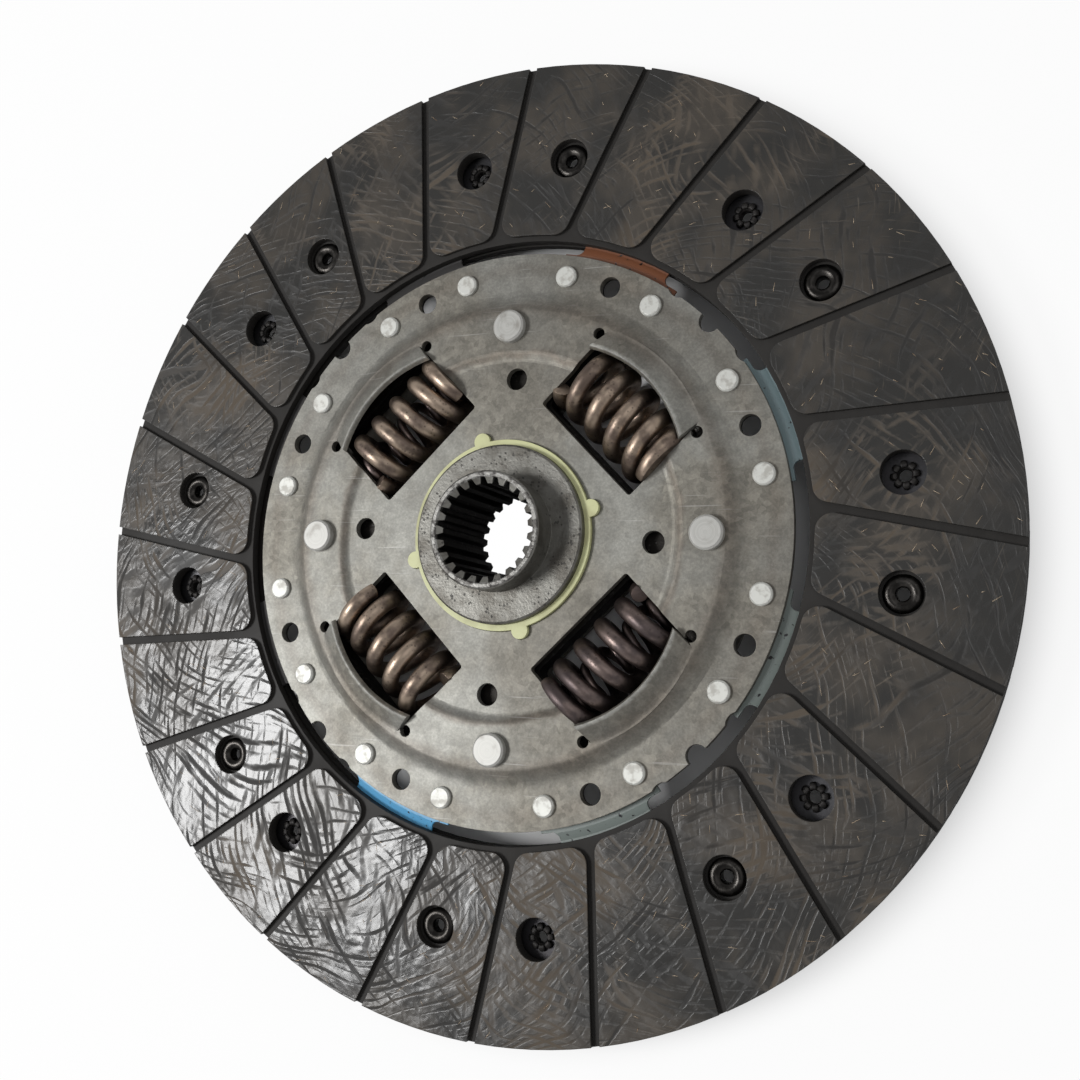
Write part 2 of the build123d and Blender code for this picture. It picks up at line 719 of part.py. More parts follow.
nose_top = flange_middle + hub_front_length
collar_top = flange_middle + hub_collar_height
with BuildPart() as hub:
    with BuildSketch(Plane.XZ) as hub_section:
        with BuildLine():
            Polyline(
                (spline_tip_radius, 0),
                (hub_rear_radius - hub_edge_chamfer, 0),
                (hub_rear_radius, hub_edge_chamfer),
                (hub_rear_radius, flange_bottom),
                (hub_flange_radius, flange_bottom),
                (hub_flange_radius, flange_top),
                (hub_collar_radius, flange_top),
                (hub_collar_radius, collar_top - hub_edge_chamfer),
                (hub_collar_radius - hub_edge_chamfer, collar_top),
                (hub_nose_radius, collar_top),
                (hub_nose_radius, nose_top - hub_edge_chamfer),
                (hub_nose_radius - hub_edge_chamfer, nose_top),
                (spline_tip_radius, nose_top),
                close=True,
            )
        make_face()
        nose_root = hub_section.vertices().sort_by_distance((hub_nose_radius, 0, collar_top))[0]
        fillet(nose_root, hub_nose_fillet)
    revolve(axis=Axis.Z)
    with BuildSketch(Plane.XY.offset(flange_bottom)):
        # Spring windows
        with PolarLocations(0, window_count, start_angle=window_direction):
            with Locations(((hub_window_inner_distance + hub_window_outer_distance) / 2, 0)):
                RectangleRounded(hub_window_outer_distance - hub_window_inner_distance,
                                 2 * window_half_width, hub_window_corner)
        # Notches round the stop pins, open at the rim
        with PolarLocations(0, window_count):
            with Locations((stop_notch_floor, 0)):
                RectangleRounded(2 * stop_notch_half_width, 2 * stop_notch_half_width,
                                 stop_notch_corner, align=(Align.MIN, Align.CENTER))
    extrude(amount=hub_flange_thickness, mode=Mode.SUBTRACT)
    # Splined bore with a lead-in at each end
    with BuildSketch():
        with PolarLocations(0, spline_teeth):
            Polygon(
                (spline_tip_radius - spline_tip_gap / 4, -spline_tip_gap / 2),
                (spline_root_radius, -spline_root_gap / 2),
                (spline_root_radius, spline_root_gap / 2),
                (spline_tip_radius - spline_tip_gap / 4, spline_tip_gap / 2),
                align=None,
            )
    extrude(amount=nose_top, mode=Mode.SUBTRACT)
    for end, inward in ((0, 1), (nose_top, -1)):
        with BuildSketch(Plane.XZ):
            with BuildLine():
                Polyline(
                    (0, end),
                    (spline_lead_radius, end),
                    (spline_tip_radius, end + inward * spline_lead_depth),
                    (0, end + inward * spline_lead_depth),
                    close=True,
                )
            make_face()
        revolve(axis=Axis.Z, mode=Mode.SUBTRACT)
hub.part.label = "hub"
export_step(hub.part, "parts/hub.step")


# ---- Front bush ---------------------------------------------------------------

bush_bore_radius = hub_collar_radius + bush_clearance
bush_bottom = front_dish_bottom - bush_flange_thickness
with BuildPart() as front_bush:
    with BuildSketch(Plane.XY.offset(bush_bottom)):
        Circle(front_plate_bore_radius - bush_plate_clearance)
        with PolarLocations(bush_lug_circle_radius, window_count, start_angle=bush_lug_angle):
            Circle(bush_lug_radius)
    extrude(amount=front_dish_top + bush_stand - bush_bottom)
    with BuildSketch(Plane.XY.offset(bush_bottom)):
        Circle(bush_flange_radius)
    extrude(amount=bush_flange_thickness)
    with BuildSketch(Plane.XY.offset(bush_bottom)):
        Circle(bush_bore_radius)
    extrude(amount=plate_thickness + bush_flange_thickness + bush_stand, mode=Mode.SUBTRACT)
front_bush.part.label = "front_bush"
export_step(front_bush.part, "parts/front_bush.step")


# ---- Rear friction pack -------------------------------------------------------

with BuildPart() as friction_washer:
    with BuildSketch(Plane.XY.offset(friction_washer_bottom)):
        Circle(friction_washer_radius)
        Circle(hub_rear_radius + bush_clearance, mode=Mode.SUBTRACT)
    extrude(amount=friction_washer_thickness)
friction_washer.part.label = "friction_washer"
export_step(friction_washer.part, "parts/friction_washer.step")

with BuildPart() as pressure_plate:
    with BuildSketch(Plane.XY.offset(pressure_plate_bottom)):
        Circle(pressure_plate_radius)
        Circle(hub_rear_radius + pressure_plate_clearance, mode=Mode.SUBTRACT)
    extrude(amount=pressure_plate_thickness)
    # Tabs bent down into the rear plate's slots stop it turning
    with BuildSketch(Plane.XY.offset(pressure_plate_bottom)):
        with PolarLocations(pressure_plate_radius - pressure_plate_thickness / 2, window_count):
            Rectangle(pressure_plate_thickness, pressure_tab_width)
    extrude(amount=rear_dish_top - plate_thickness - pressure_plate_bottom)
pressure_plate.part.label = "pressure_plate"
export_step(pressure_plate.part, "parts/pressure_plate.step")

with BuildPart() as cone_spring:
    with BuildSketch(Plane.XZ):
        with BuildLine():
            Polyline(
                (cone_spring_inner_radius, pressure_plate_bottom),
                (cone_spring_inner_radius, pressure_plate_bottom - cone_spring_thickness),
                (cone_spring_outer_radius, rear_dish_top),
                (cone_spring_outer_radius, rear_dish_top + cone_spring_thickness),
                close=True,
            )
        make_face()
    revolve(axis=Axis.Z)
cone_spring.part.label = "cone_spring"
export_step(cone_spring.part, "parts/cone_spring.step")
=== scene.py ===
import logging
import math
import random
from dataclasses import dataclass
from enum import Enum
from functools import cache
from typing import Any

import bmesh
import bpy
from mathutils import Matrix, Vector


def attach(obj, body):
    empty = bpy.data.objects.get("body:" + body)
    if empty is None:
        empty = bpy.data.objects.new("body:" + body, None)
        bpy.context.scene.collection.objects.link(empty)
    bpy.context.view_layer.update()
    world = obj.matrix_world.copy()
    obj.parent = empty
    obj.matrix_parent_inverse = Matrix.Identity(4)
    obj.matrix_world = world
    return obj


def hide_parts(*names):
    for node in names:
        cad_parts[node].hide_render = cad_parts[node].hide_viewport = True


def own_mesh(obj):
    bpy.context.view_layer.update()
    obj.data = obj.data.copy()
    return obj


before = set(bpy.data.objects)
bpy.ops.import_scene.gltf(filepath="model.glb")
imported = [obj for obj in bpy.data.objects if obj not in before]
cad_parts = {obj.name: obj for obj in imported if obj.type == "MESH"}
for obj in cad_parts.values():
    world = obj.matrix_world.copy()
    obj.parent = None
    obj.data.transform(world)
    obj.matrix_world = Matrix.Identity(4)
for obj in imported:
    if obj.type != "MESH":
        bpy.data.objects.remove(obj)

LOG = logging.getLogger("clutch_disc")
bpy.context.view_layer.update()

Colour = tuple[float, float, float]


# ---- Node graphs ---------------------------------------------------------------


class Graph:
    """Adds nodes to one node tree, with short calls for the kinds that the finishes share."""

    def __init__(self, tree: bpy.types.NodeTree) -> None:
        """Keeps the tree that the calls add to.

        Args:
            tree: The material's, world's or group's node tree.
        """
        self.tree = tree

    def node(self, kind: str, inputs: dict[Any, Any] | None = None, **settings: Any) -> bpy.types.Node:
        """Adds one node.

        Args:
            kind: The node's type name.
            inputs: Sockets by name or number, each with a value or a socket to link.
            **settings: The node's own properties.

        Returns:
            The new node.
        """
        node = self.tree.nodes.new(kind)
        for name, value in settings.items():
            setattr(node, name, value)
        self.fill(node, inputs or {})
        return node

    def fill(self, node: bpy.types.Node, inputs: dict[Any, Any]) -> None:
        """Feeds several inputs of one node.

        Args:
            node: The node.
            inputs: Sockets by name or number, each with a value or a socket to link.
        """
        for name, value in inputs.items():
            self.feed(node.inputs[name], value)

    def feed(self, socket: bpy.types.NodeSocket, value: Any) -> None:
        """Links a socket's value, or sets it where it is a plain one.

        Args:
            socket: The input to feed.
            value: The socket to link, or the plain value.
        """
        if isinstance(value, bpy.types.NodeSocket):
            self.tree.links.new(value, socket)
        elif socket.type == "RGBA" and len(value) == 3:
            socket.default_value = (*value, 1.0)
        else:
            socket.default_value = value

    def maths(self, operation: str, *values: Any) -> bpy.types.NodeSocket:
        """Adds a Math node.

        Args:
            operation: The node's operation.
            *values: Its inputs in order, each a value or a socket.

        Returns:
            The node's value.
        """
        return self.node("ShaderNodeMath", dict(enumerate(values)), operation=operation).outputs[0]

    def vector(self, x: Any, y: Any, z: Any) -> bpy.types.NodeSocket:
        """Joins three values into a vector.

        Args:
            x: The first value.
            y: The second value.
            z: The third value.

        Returns:
            The vector.
        """
        return self.node("ShaderNodeCombineXYZ", {0: x, 1: y, 2: z}).outputs[0]

    def noise(
        self, vector: Any, scale: float, detail: float = 2.0, roughness: float = 0.5
    ) -> bpy.types.NodeSocket:
        """Adds a Noise Texture.

        Args:
            vector: The point to read it at.
            scale: How fine it is.
            detail: How many finer layers it has.
            roughness: The finer layers' share.

        Returns:
            Its value, which stays near one half.
        """
        sockets = {"Vector": vector, "Scale": scale, "Detail": detail, "Roughness": roughness}
        return self.node("ShaderNodeTexNoise", sockets).outputs[0]

    def between(
        self, value: Any, low: float, high: float, start: float = 0.0, end: float = 1.0
    ) -> bpy.types.NodeSocket:
        """Maps a value smoothly from low..high to start..end, and holds it at both ends.

        Args:
            value: The value to map.
            low: Where the ramp starts.
            high: Where the ramp ends.
            start: The result up to low.
            end: The result from high on.

        Returns:
            The mapped value.
        """
        sockets = {0: value, 1: low, 2: high, 3: start, 4: end}
        return self.node("ShaderNodeMapRange", sockets, interpolation_type="SMOOTHSTEP").outputs[0]

    def blend(self, factor: Any, first: Any, second: Any) -> bpy.types.NodeSocket:
        """Mixes two colours.

        Args:
            factor: The second colour's share.
            first: The colour at a factor of 0.
            second: The colour at a factor of 1.

        Returns:
            The mixed colour.
        """
        return self.node("ShaderNodeMix", {0: factor, 6: first, 7: second}, data_type="RGBA").outputs[2]

    def place(self) -> bpy.types.NodeSocket:
        """Gives the surface point in the disc's own coordinates.

        Returns:
            The point, in metres.
        """
        return self.node("ShaderNodeTexCoord").outputs["Object"]

    def split(self, vector: Any) -> list[bpy.types.NodeSocket]:
        """Takes a vector apart.

        Args:
            vector: The vector.

        Returns:
            Its x, y and z.
        """
        return list(self.node("ShaderNodeSeparateXYZ", {0: vector}).outputs)

    def radius(self, vector: Any) -> bpy.types.NodeSocket:
        """Measures how far a point lies from the disc's axis.

        Args:
            vector: The point.

        Returns:
            The distance.
        """
        x, y, _ = self.split(vector)
        squares = self.maths("ADD", self.maths("POWER", x, 2.0), self.maths("POWER", y, 2.0))
        return self.maths("SQRT", squares)

    def grouped(self, tree: bpy.types.NodeTree, inputs: dict[str, Any]) -> bpy.types.bpy_prop_collection:
        """Adds a node group.

        Args:
            tree: The group's tree.
            inputs: Its sockets by name, each with a value or a socket to link.

        Returns:
            Its outputs, which are found by name.
        """
        return self.node("ShaderNodeGroup", inputs, node_tree=tree).outputs


def emptied_graph(owner: bpy.types.Material | bpy.types.World) -> Graph:
    """Starts the nodes of a material or a world afresh.

    Args:
        owner: The material or the world.

    Returns:
        Its graph, without nodes.
    """
    owner.use_nodes = True
    owner.node_tree.nodes.clear()
    return Graph(owner.node_tree)


def new_group(
    name: str, inputs: dict[str, str], outputs: dict[str, str]
) -> tuple[Graph, bpy.types.Node, bpy.types.Node]:
    """Starts a shader node group.

    Args:
        name: The group's name.
        inputs: Socket types by name.
        outputs: Socket types by name.

    Returns:
        The group's graph, its input node and its output node.
    """
    tree = bpy.data.node_groups.new(name, "ShaderNodeTree")
    for label, kind in inputs.items():
        tree.interface.new_socket(label, in_out="INPUT", socket_type=kind)
    for label, kind in outputs.items():
        tree.interface.new_socket(label, in_out="OUTPUT", socket_type=kind)
    graph = Graph(tree)
    return graph, graph.node("NodeGroupInput"), graph.node("NodeGroupOutput")


FLOAT = "NodeSocketFloat"
VECTOR = "NodeSocketVector"


@cache
def wound_yarn_group() -> bpy.types.NodeTree:
    """One family of the yarn loops that a facing is wound from, as they show on its ground face.

    The loops swing between the ring's inner and outer edge, so they lie along the rim at
    the edges and cross the ring in between.

    Returns:
        A group with the inputs Vector, Side and Seed, and the outputs Stroke and Fibre.
    """
    middle, swing, loops = 0.1015, 0.0300, 2.6
    reach = 0.97
    lines_round, wander_turns = 175.0, 10.0
    line_share, patch_share, ragged_share = 0.09, 0.40, 0.27
    graph, given, result = new_group(
        "Wound Yarn", {"Vector": VECTOR, "Side": FLOAT, "Seed": FLOAT}, {"Stroke": FLOAT, "Fibre": FLOAT}
    )
    point, side, seed = given.outputs["Vector"], given.outputs["Side"], given.outputs["Seed"]
    x, y, _ = graph.split(point)
    radius = graph.radius(point)
    share = graph.maths("DIVIDE", graph.maths("SUBTRACT", radius, middle), swing)
    share = graph.maths("MAXIMUM", graph.maths("MINIMUM", share, reach), -reach)
    swirl = graph.maths("DIVIDE", graph.maths("ARCSINE", share), loops)
    angle = graph.maths("ARCTAN2", y, x)
    strand = graph.maths("SUBTRACT", angle, graph.maths("MULTIPLY", swirl, side))
    cosine = graph.maths("COSINE", strand)
    sine = graph.maths("SINE", strand)

    def along(across: float, lengthwise: float) -> bpy.types.NodeSocket:
        """Gives a vector whose noise is drawn out along the strands.

        Args:
            across: How fine the noise is across the strands.
            lengthwise: How fine it is along them.

        Returns:
            The vector.
        """
        depth = graph.maths("MULTIPLY_ADD", radius, lengthwise, seed)
        return graph.vector(
            graph.maths("MULTIPLY", cosine, across), graph.maths("MULTIPLY", sine, across), depth
        )

    wander = graph.noise(point, 60.0, 2.0)
    phase = graph.maths("MULTIPLY_ADD", wander, wander_turns, graph.maths("MULTIPLY", strand, lines_round))
    lines = graph.maths("SINE", phase)
    dash = graph.noise(along(30.0, 105.0), 1.0, 2.0, 0.6)
    shift = graph.vector(seed, seed, 0.0)
    shifted = graph.node("ShaderNodeVectorMath", {0: point, 1: shift}, operation="ADD").outputs[0]
    patch = graph.noise(shifted, 42.0, 1.0)
    ragged = graph.noise(point, 330.0, 3.0, 0.65)
    weight = graph.maths("MULTIPLY_ADD", lines, line_share, dash)
    weight = graph.maths("MULTIPLY_ADD", patch, patch_share, weight)
    weight = graph.maths("MULTIPLY_ADD", ragged, ragged_share, weight)
    stroke = graph.between(weight, 0.86, 1.09)
    fine = graph.noise(along(150.0, 260.0), 1.0, 2.0)
    fibre = graph.between(fine, 0.64, 0.74)
    graph.fill(result, {"Stroke": stroke, "Fibre": fibre})
    return graph.tree


@cache
def sheet_marks_group() -> bpy.types.NodeTree:
    """Handling marks of a metal part: soft clouds, a fine grain and thin scratches.

    Returns:
        A group with the input Vector, and the outputs Cloud, Grain and Scratch.
    """
    graph, given, result = new_group(
        "Sheet Marks", {"Vector": VECTOR}, {"Cloud": FLOAT, "Grain": FLOAT, "Scratch": FLOAT}
    )
    point = given.outputs["Vector"]
    cloud = graph.noise(point, 38.0, 4.0, 0.6)
    grain = graph.noise(point, 1500.0, 3.0, 0.65)
    scratch_scale = (34.0, 1500.0, 300.0)
    found = []
    for turn, seed in ((0.4, 1.0), (1.5, 4.0), (2.6, 9.0)):
        place = {"Rotation": (0.0, 0.0, turn), "Scale": scratch_scale, "Location": (seed, 0.0, 0.0)}
        turned = graph.node("ShaderNodeMapping", {"Vector": point, **place}).outputs[0]
        thin = graph.between(graph.noise(turned, 1.0, 1.0), 0.71, 0.75)
        patch = graph.between(graph.noise(point, 60.0 + seed, 1.0), 0.5, 0.62)
        found.append(graph.maths("MULTIPLY", thin, patch))
    both = graph.maths("MAXIMUM", found[0], found[1])
    scratch = graph.maths("MAXIMUM", both, found[2])
    graph.fill(result, {"Cloud": cloud, "Grain": grain, "Scratch": scratch})
    return graph.tree


@cache
def speckle_group() -> bpy.types.NodeTree:
    """Small round specks, such as pits in a phosphate coat.

    Returns:
        A group with the inputs Vector and Scale, and the output Speck.
    """
    graph, given, result = new_group("Specks", {"Vector": VECTOR, "Scale": FLOAT}, {"Speck": FLOAT})
    point, scale = given.outputs["Vector"], given.outputs["Scale"]
    cell = graph.node("ShaderNodeTexVoronoi", {"Vector": point, "Scale": scale}).outputs["Distance"]
    near = graph.between(cell, 0.18, 0.30, 1.0, 0.0)
    chosen = graph.between(graph.noise(point, 240.0, 2.0), 0.44, 0.54)
    graph.fill(result, {"Speck": graph.maths("MULTIPLY", near, chosen)})
    return graph.tree


# ---- Finishes ------------------------------------------------------------------


@dataclass(frozen=True)
class Finish:
    """What every finish shares.

    Attributes:
        name: The material's name.
        edge: How far its edges are rounded off, in metres.
    """

    name: str
    edge: float = 0.0002

    @cache
    def material(self) -> bpy.types.Material:
        """Builds the material once; the same finish always gives the same one.

        Returns:
            The material.
        """
        made = bpy.data.materials.new(self.name)
        graph = emptied_graph(made)
        shader = graph.node("ShaderNodeBsdfPrincipled")
        graph.node("ShaderNodeOutputMaterial", {"Surface": shader.outputs[0]})
        self.dress(graph, shader)
        return made

    def dress(self, graph: Graph, shader: bpy.types.Node) -> None:
        """Feeds the shader; each finish has its own way.

        Args:
            graph: The material's graph.
            shader: The Principled shader.
        """
        raise NotImplementedError

    def rounding(self, graph: Graph) -> Any:
        """Gives how far the edges are rounded off: one width, unless a finish has its own.

        Args:
            graph: The material's graph.

        Returns:
            The radius in metres, as a value or a socket.
        """
        return self.edge

    def relief(
        self, graph: Graph, shader: bpy.types.Node, height: Any, distance: float, strength: float
    ) -> None:
        """Feeds the shader's normal with a bump over slightly rounded edges.

        Args:
            graph: The material's graph.
            shader: The Principled shader.
            height: The bump's height, from 0 to 1.
            distance: The depth in metres that a height of 1 stands for.
            strength: The bump's share.
        """
        rounded = graph.node("ShaderNodeBevel", {"Radius": self.rounding(graph)}, samples=4).outputs[0]
        bump = graph.node(
            "ShaderNodeBump",
            {"Height": height, "Distance": distance, "Strength": strength, "Normal": rounded},
        )
        graph.fill(shader, {"Normal": bump.outputs[0]})


@dataclass(frozen=True)
class WovenFacing(Finish):
    """The friction lining: resin-polished yarn with open strokes, fibres and dull groove floors.

    Attributes:
        middle_height: The height halfway between the two linings' ground faces.
        face_height: How far each ground face lies from there.
        sway: How far the strands leave their even curves, in metres.
        clean: The polished resin.
        brown: The resin in its clouds.
        dark_yarn: The open strokes.
        copper_yarn: The strokes where brass shows.
        fibre: The fibres near the surface.
        floor: The dull groove floors and rims.
        specular: The shine of the resin.
    """

    middle_height: float = 0.0119
    face_height: float = 0.0043
    sway: float = 0.020
    clean: Colour = (0.031, 0.030, 0.028)
    brown: Colour = (0.060, 0.052, 0.043)
    dark_yarn: Colour = (0.011, 0.010, 0.009)
    copper_yarn: Colour = (0.088, 0.067, 0.046)
    fibre: Colour = (0.125, 0.105, 0.082)
    floor: Colour = (0.013, 0.011, 0.009)
    specular: float = 0.46

    def dress(self, graph: Graph, shader: bpy.types.Node) -> None:
        """Feeds the shader with the wound yarn of both families."""
        point = graph.place()
        bent = self.swayed(graph, point)
        strokes, fibres = [], []
        for side, seed in ((1.0, 0.0), (-1.0, 7.0), (0.25, 15.0)):
            family = graph.grouped(wound_yarn_group(), {"Vector": bent, "Side": side, "Seed": seed})
            strokes.append(family["Stroke"])
            fibres.append(family["Fibre"])
        stroke = graph.maths("MAXIMUM", strokes[0], strokes[1])
        stroke = graph.maths("MAXIMUM", stroke, graph.maths("MULTIPLY", strokes[2], 0.7))
        fibre = graph.maths("MAXIMUM", fibres[0], fibres[1])
        bare = graph.between(graph.noise(point, 85.0, 2.0), 0.47, 0.60, 0.0, 0.6)
        fibre = graph.maths("MULTIPLY", fibre, bare)
        # The ground face is polished; the grooves and the rim are dull
        _, _, height = graph.split(point)
        reach = graph.maths("ABSOLUTE", graph.maths("SUBTRACT", height, self.middle_height))
        ground = graph.between(reach, self.face_height - 0.0004, self.face_height - 0.0002)
        stroke = graph.maths("MULTIPLY", stroke, ground)
        fibre = graph.maths("MULTIPLY", fibre, ground)
        cloud = graph.noise(point, 45.0, 3.0, 0.6)
        grain = graph.noise(point, 900.0, 3.0, 0.6)
        colour = graph.blend(graph.between(cloud, 0.4, 0.62), self.clean, self.brown)
        coppery = graph.between(graph.noise(point, 33.0, 2.0), 0.50, 0.62)
        yarn = graph.blend(coppery, self.dark_yarn, self.copper_yarn)
        colour = graph.blend(graph.maths("MULTIPLY", stroke, 0.8), colour, yarn)
        colour = graph.blend(fibre, colour, self.fibre)
        colour = graph.blend(ground, self.floor, colour)
        gloss = graph.maths("MULTIPLY_ADD", cloud, 0.30, 0.07)
        rough = graph.maths("MULTIPLY_ADD", stroke, 0.48, gloss)
        wear_and_highlight = graph.between(graph.noise(point, 15.0, 1.0), 0.42, 0.62)
        rough = graph.maths("MULTIPLY_ADD", wear_and_highlight, 0.06, rough)
        dull = graph.maths("MULTIPLY", graph.maths("SUBTRACT", 1.0, ground), 0.45)
        rough = graph.maths("MINIMUM", graph.maths("ADD", rough, dull), 0.9)
        graph.fill(shader, {"Base Color": colour, "Roughness": rough, "Specular IOR Level": self.specular})
        level = graph.maths("MULTIPLY_ADD", stroke, -0.50, 0.8)
        level = graph.maths("MULTIPLY_ADD", grain, 0.07, level)
        level = graph.maths("MULTIPLY_ADD", graph.noise(bent, 170.0, 2.0), 2.1, level)
        self.relief(graph, shader, level, 0.00015, 0.85)

    def swayed(self, graph: Graph, point: Any) -> bpy.types.NodeSocket:
        """Moves the point a little, so that the strands leave their even curves.

        Args:
            graph: The material's graph.
            point: The surface point.

        Returns:
            The moved point.
        """
        noise = {"Vector": point, "Scale": 26.0, "Detail": 1.0}
        sway = graph.node("ShaderNodeTexNoise", noise).outputs["Color"]
        centred = {0: sway, 1: (0.5, 0.5, 0.5)}
        sway = graph.node("ShaderNodeVectorMath", centred, operation="SUBTRACT").outputs[0]
        sway = graph.node("ShaderNodeVectorMath", {0: sway, "Scale": self.sway}, operation="SCALE").outputs[0]
        return graph.node("ShaderNodeVectorMath", {0: point, 1: sway}, operation="ADD").outputs[0]


@dataclass(frozen=True)
class SheetSteel(Finish):
    """Pressed or rolled steel with clouds, grain and scratches.

    Attributes:
        colour: The clean metal.
        tint: The metal in the clouds.
        stain: The broad oily stains.
        scratch: The fine scratches.
        wear_and_highlight: The metal that shows on the window lips' upper edges.
        oil: The oil rings.
        roughness: The roughness of the clean metal.
        metallic: How much of it shows as bare metal.
        stain_rings: Whether oil rings follow the plate's bends.
        ramp_radius: Where the plate's rim ramp lies.
        ramp_reach: How far the ramp's rounding reaches.
        ramp_rounding: The ramp's rounding, in metres.
        lip_top: The height of the window lips' upper edges.
    """

    colour: Colour = (0.287, 0.283, 0.256)
    tint: Colour = (0.197, 0.186, 0.158)
    stain: Colour = (0.15, 0.138, 0.116)
    scratch: Colour = (0.55, 0.54, 0.52)
    # wear_and_highlight: The painted highlight along the window lips' upper edges.
    wear_and_highlight: Colour = (0.46, 0.455, 0.42)
    oil: Colour = (0.125, 0.10, 0.078)
    roughness: float = 0.50
    metallic: float = 0.55
    stain_rings: bool = False
    ramp_radius: float = 0.0622
    ramp_reach: float = 0.0034
    ramp_rounding: float = 0.0030
    lip_top: float = 0.0200

    def dress(self, graph: Graph, shader: bpy.types.Node) -> None:
        """Feeds the shader with the steel's marks."""
        point = graph.place()
        marks = graph.grouped(sheet_marks_group(), {"Vector": point})
        cloud, grain, scratch = marks["Cloud"], marks["Grain"], marks["Scratch"]
        colour = graph.blend(graph.between(cloud, 0.38, 0.64), self.colour, self.tint)
        wide = graph.between(graph.noise(point, 17.0, 3.0, 0.55), 0.46, 0.64, 0.0, 0.6)
        colour = graph.blend(wide, colour, self.stain)
        if self.stain_rings:
            colour = self.rings(graph, point, colour)
            # Painted highlight along the window lips' upper edges
            colour = graph.blend(self.painted_lip_highlight(graph, point), colour, self.wear_and_highlight)
        cell = graph.node("ShaderNodeTexVoronoi", {"Vector": point, "Scale": 720.0}).outputs["Color"]
        spangle = graph.maths("MULTIPLY", graph.split(cell)[0], graph.between(cloud, 0.45, 0.60))
        smudge = graph.between(graph.noise(point, 260.0, 4.0, 0.62), 0.40, 0.60, 0.86, 1.05)
        darker = graph.maths("MULTIPLY_ADD", spangle, 0.34, graph.between(grain, 0.35, 0.7, 0.78, 1.0))
        darker = graph.maths("MULTIPLY", darker, smudge)
        sockets = {0: 1.0, 6: colour, 7: graph.vector(darker, darker, darker)}
        colour = graph.node("ShaderNodeMix", sockets, data_type="RGBA", blend_type="MULTIPLY").outputs[2]
        colour = graph.blend(graph.maths("MULTIPLY", scratch, 0.22), colour, self.scratch)
        rough = graph.maths("MULTIPLY_ADD", cloud, 0.24, self.roughness - 0.12)
        graph.fill(shader, {"Base Color": colour, "Roughness": rough, "Metallic": self.metallic})
        level = graph.maths("MULTIPLY_ADD", scratch, -0.3, graph.maths("MULTIPLY", grain, 0.7))
        self.relief(graph, shader, level, 0.00005, 0.7)

    def rounding(self, graph: Graph) -> Any:
        """Rounds the plate's pressed rim ramp far more than its cut edges.

        Args:
            graph: The material's graph.

        Returns:
            The radius in metres.
        """
        point = graph.place()
        radius = graph.radius(point)
        away = graph.maths("ABSOLUTE", graph.maths("SUBTRACT", radius, self.ramp_radius))
        near = graph.between(away, self.ramp_reach / 2, self.ramp_reach, 1.0, 0.0)
        # Clear of the window lips, which lie on the diagonals
        x, y, _ = graph.split(point)
        turned = graph.maths("SUBTRACT", graph.maths("POWER", x, 2.0), graph.maths("POWER", y, 2.0))
        squared = graph.maths("POWER", radius, 2.0)
        turned = graph.maths("DIVIDE", graph.maths("ABSOLUTE", turned), squared)
        near = graph.maths("MULTIPLY", near, graph.between(turned, 0.50, 0.70))
        return graph.maths("MULTIPLY_ADD", near, self.ramp_rounding, self.edge)

    def painted_lip_highlight(self, graph: Graph, point: Any) -> bpy.types.NodeSocket:
        """How far the painted highlight covers the window lips' upper edges.

        Args:
            graph: The material's graph.
            point: The surface point.

        Returns:
            The painted highlight's share.
        """
        _, _, height = graph.split(point)
        ragged = graph.maths("MULTIPLY_ADD", graph.noise(point, 600.0, 3.0), 0.0006, height)
        return graph.between(ragged, self.lip_top - 0.0002, self.lip_top + 0.0003, 0.0, 0.8)

    def rings(self, graph: Graph, point: Any, colour: Any) -> bpy.types.NodeSocket:
        """Adds the brown rings that oil leaves round a pressed plate's bends.

        Args:
            graph: The material's graph.
            point: The surface point.
            colour: The steel's colour so far.

        Returns:
            The colour with the rings.
        """
        radius = graph.radius(point)
        ragged = graph.maths("MULTIPLY_ADD", graph.noise(point, 120.0, 3.0), 0.004, radius)
        for middle, width, share in ((0.0610, 0.0035, 0.45), (0.0492, 0.0018, 0.55), (0.0720, 0.0030, 0.25)):
            away = graph.maths("ABSOLUTE", graph.maths("SUBTRACT", ragged, middle))
            ring = graph.between(away, 0.0, width, share, 0.0)
            colour = graph.blend(ring, colour, self.oil)
        return colour


@dataclass(frozen=True)
class TurnedSteel(Finish):
    """The bright turned heads of the stop pins, with marks round each head's own centre.

    Attributes:
        circle: The radius of the circle that the pins stand on.
        colour: The clean metal.
        groove: The metal between the turned marks.
        stain: The cloudy stains.
    """

    circle: float = 0.0541
    colour: Colour = (0.48, 0.475, 0.45)
    groove: Colour = (0.41, 0.405, 0.38)
    stain: Colour = (0.25, 0.235, 0.21)

    def dress(self, graph: Graph, shader: bpy.types.Node) -> None:
        """Feeds the shader with rings about the nearest pin's axis."""
        point = graph.place()
        x, y, _ = graph.split(point)
        x = graph.maths("ABSOLUTE", x)
        y = graph.maths("ABSOLUTE", y)
        outward = graph.maths("SUBTRACT", graph.maths("MAXIMUM", x, y), self.circle)
        local = graph.vector(outward, graph.maths("MINIMUM", x, y), 0.0)
        radius = graph.radius(local)
        wobble = graph.noise(point, 500.0, 2.0)
        across = graph.maths("MULTIPLY", radius, 5200.0)
        rings = graph.noise(graph.vector(across, graph.maths("MULTIPLY", wobble, 1.2), 0.0), 1.0, 2.0)
        cloud = graph.noise(point, 260.0, 3.0)
        colour = graph.blend(graph.between(rings, 0.35, 0.65), self.groove, self.colour)
        colour = graph.blend(graph.between(cloud, 0.52, 0.72, 0.0, 0.7), colour, self.stain)
        rough = graph.maths("MULTIPLY_ADD", rings, 0.22, 0.34)
        graph.fill(shader, {"Base Color": colour, "Roughness": rough, "Metallic": 0.35})
        self.relief(graph, shader, rings, 0.00001, 0.5)


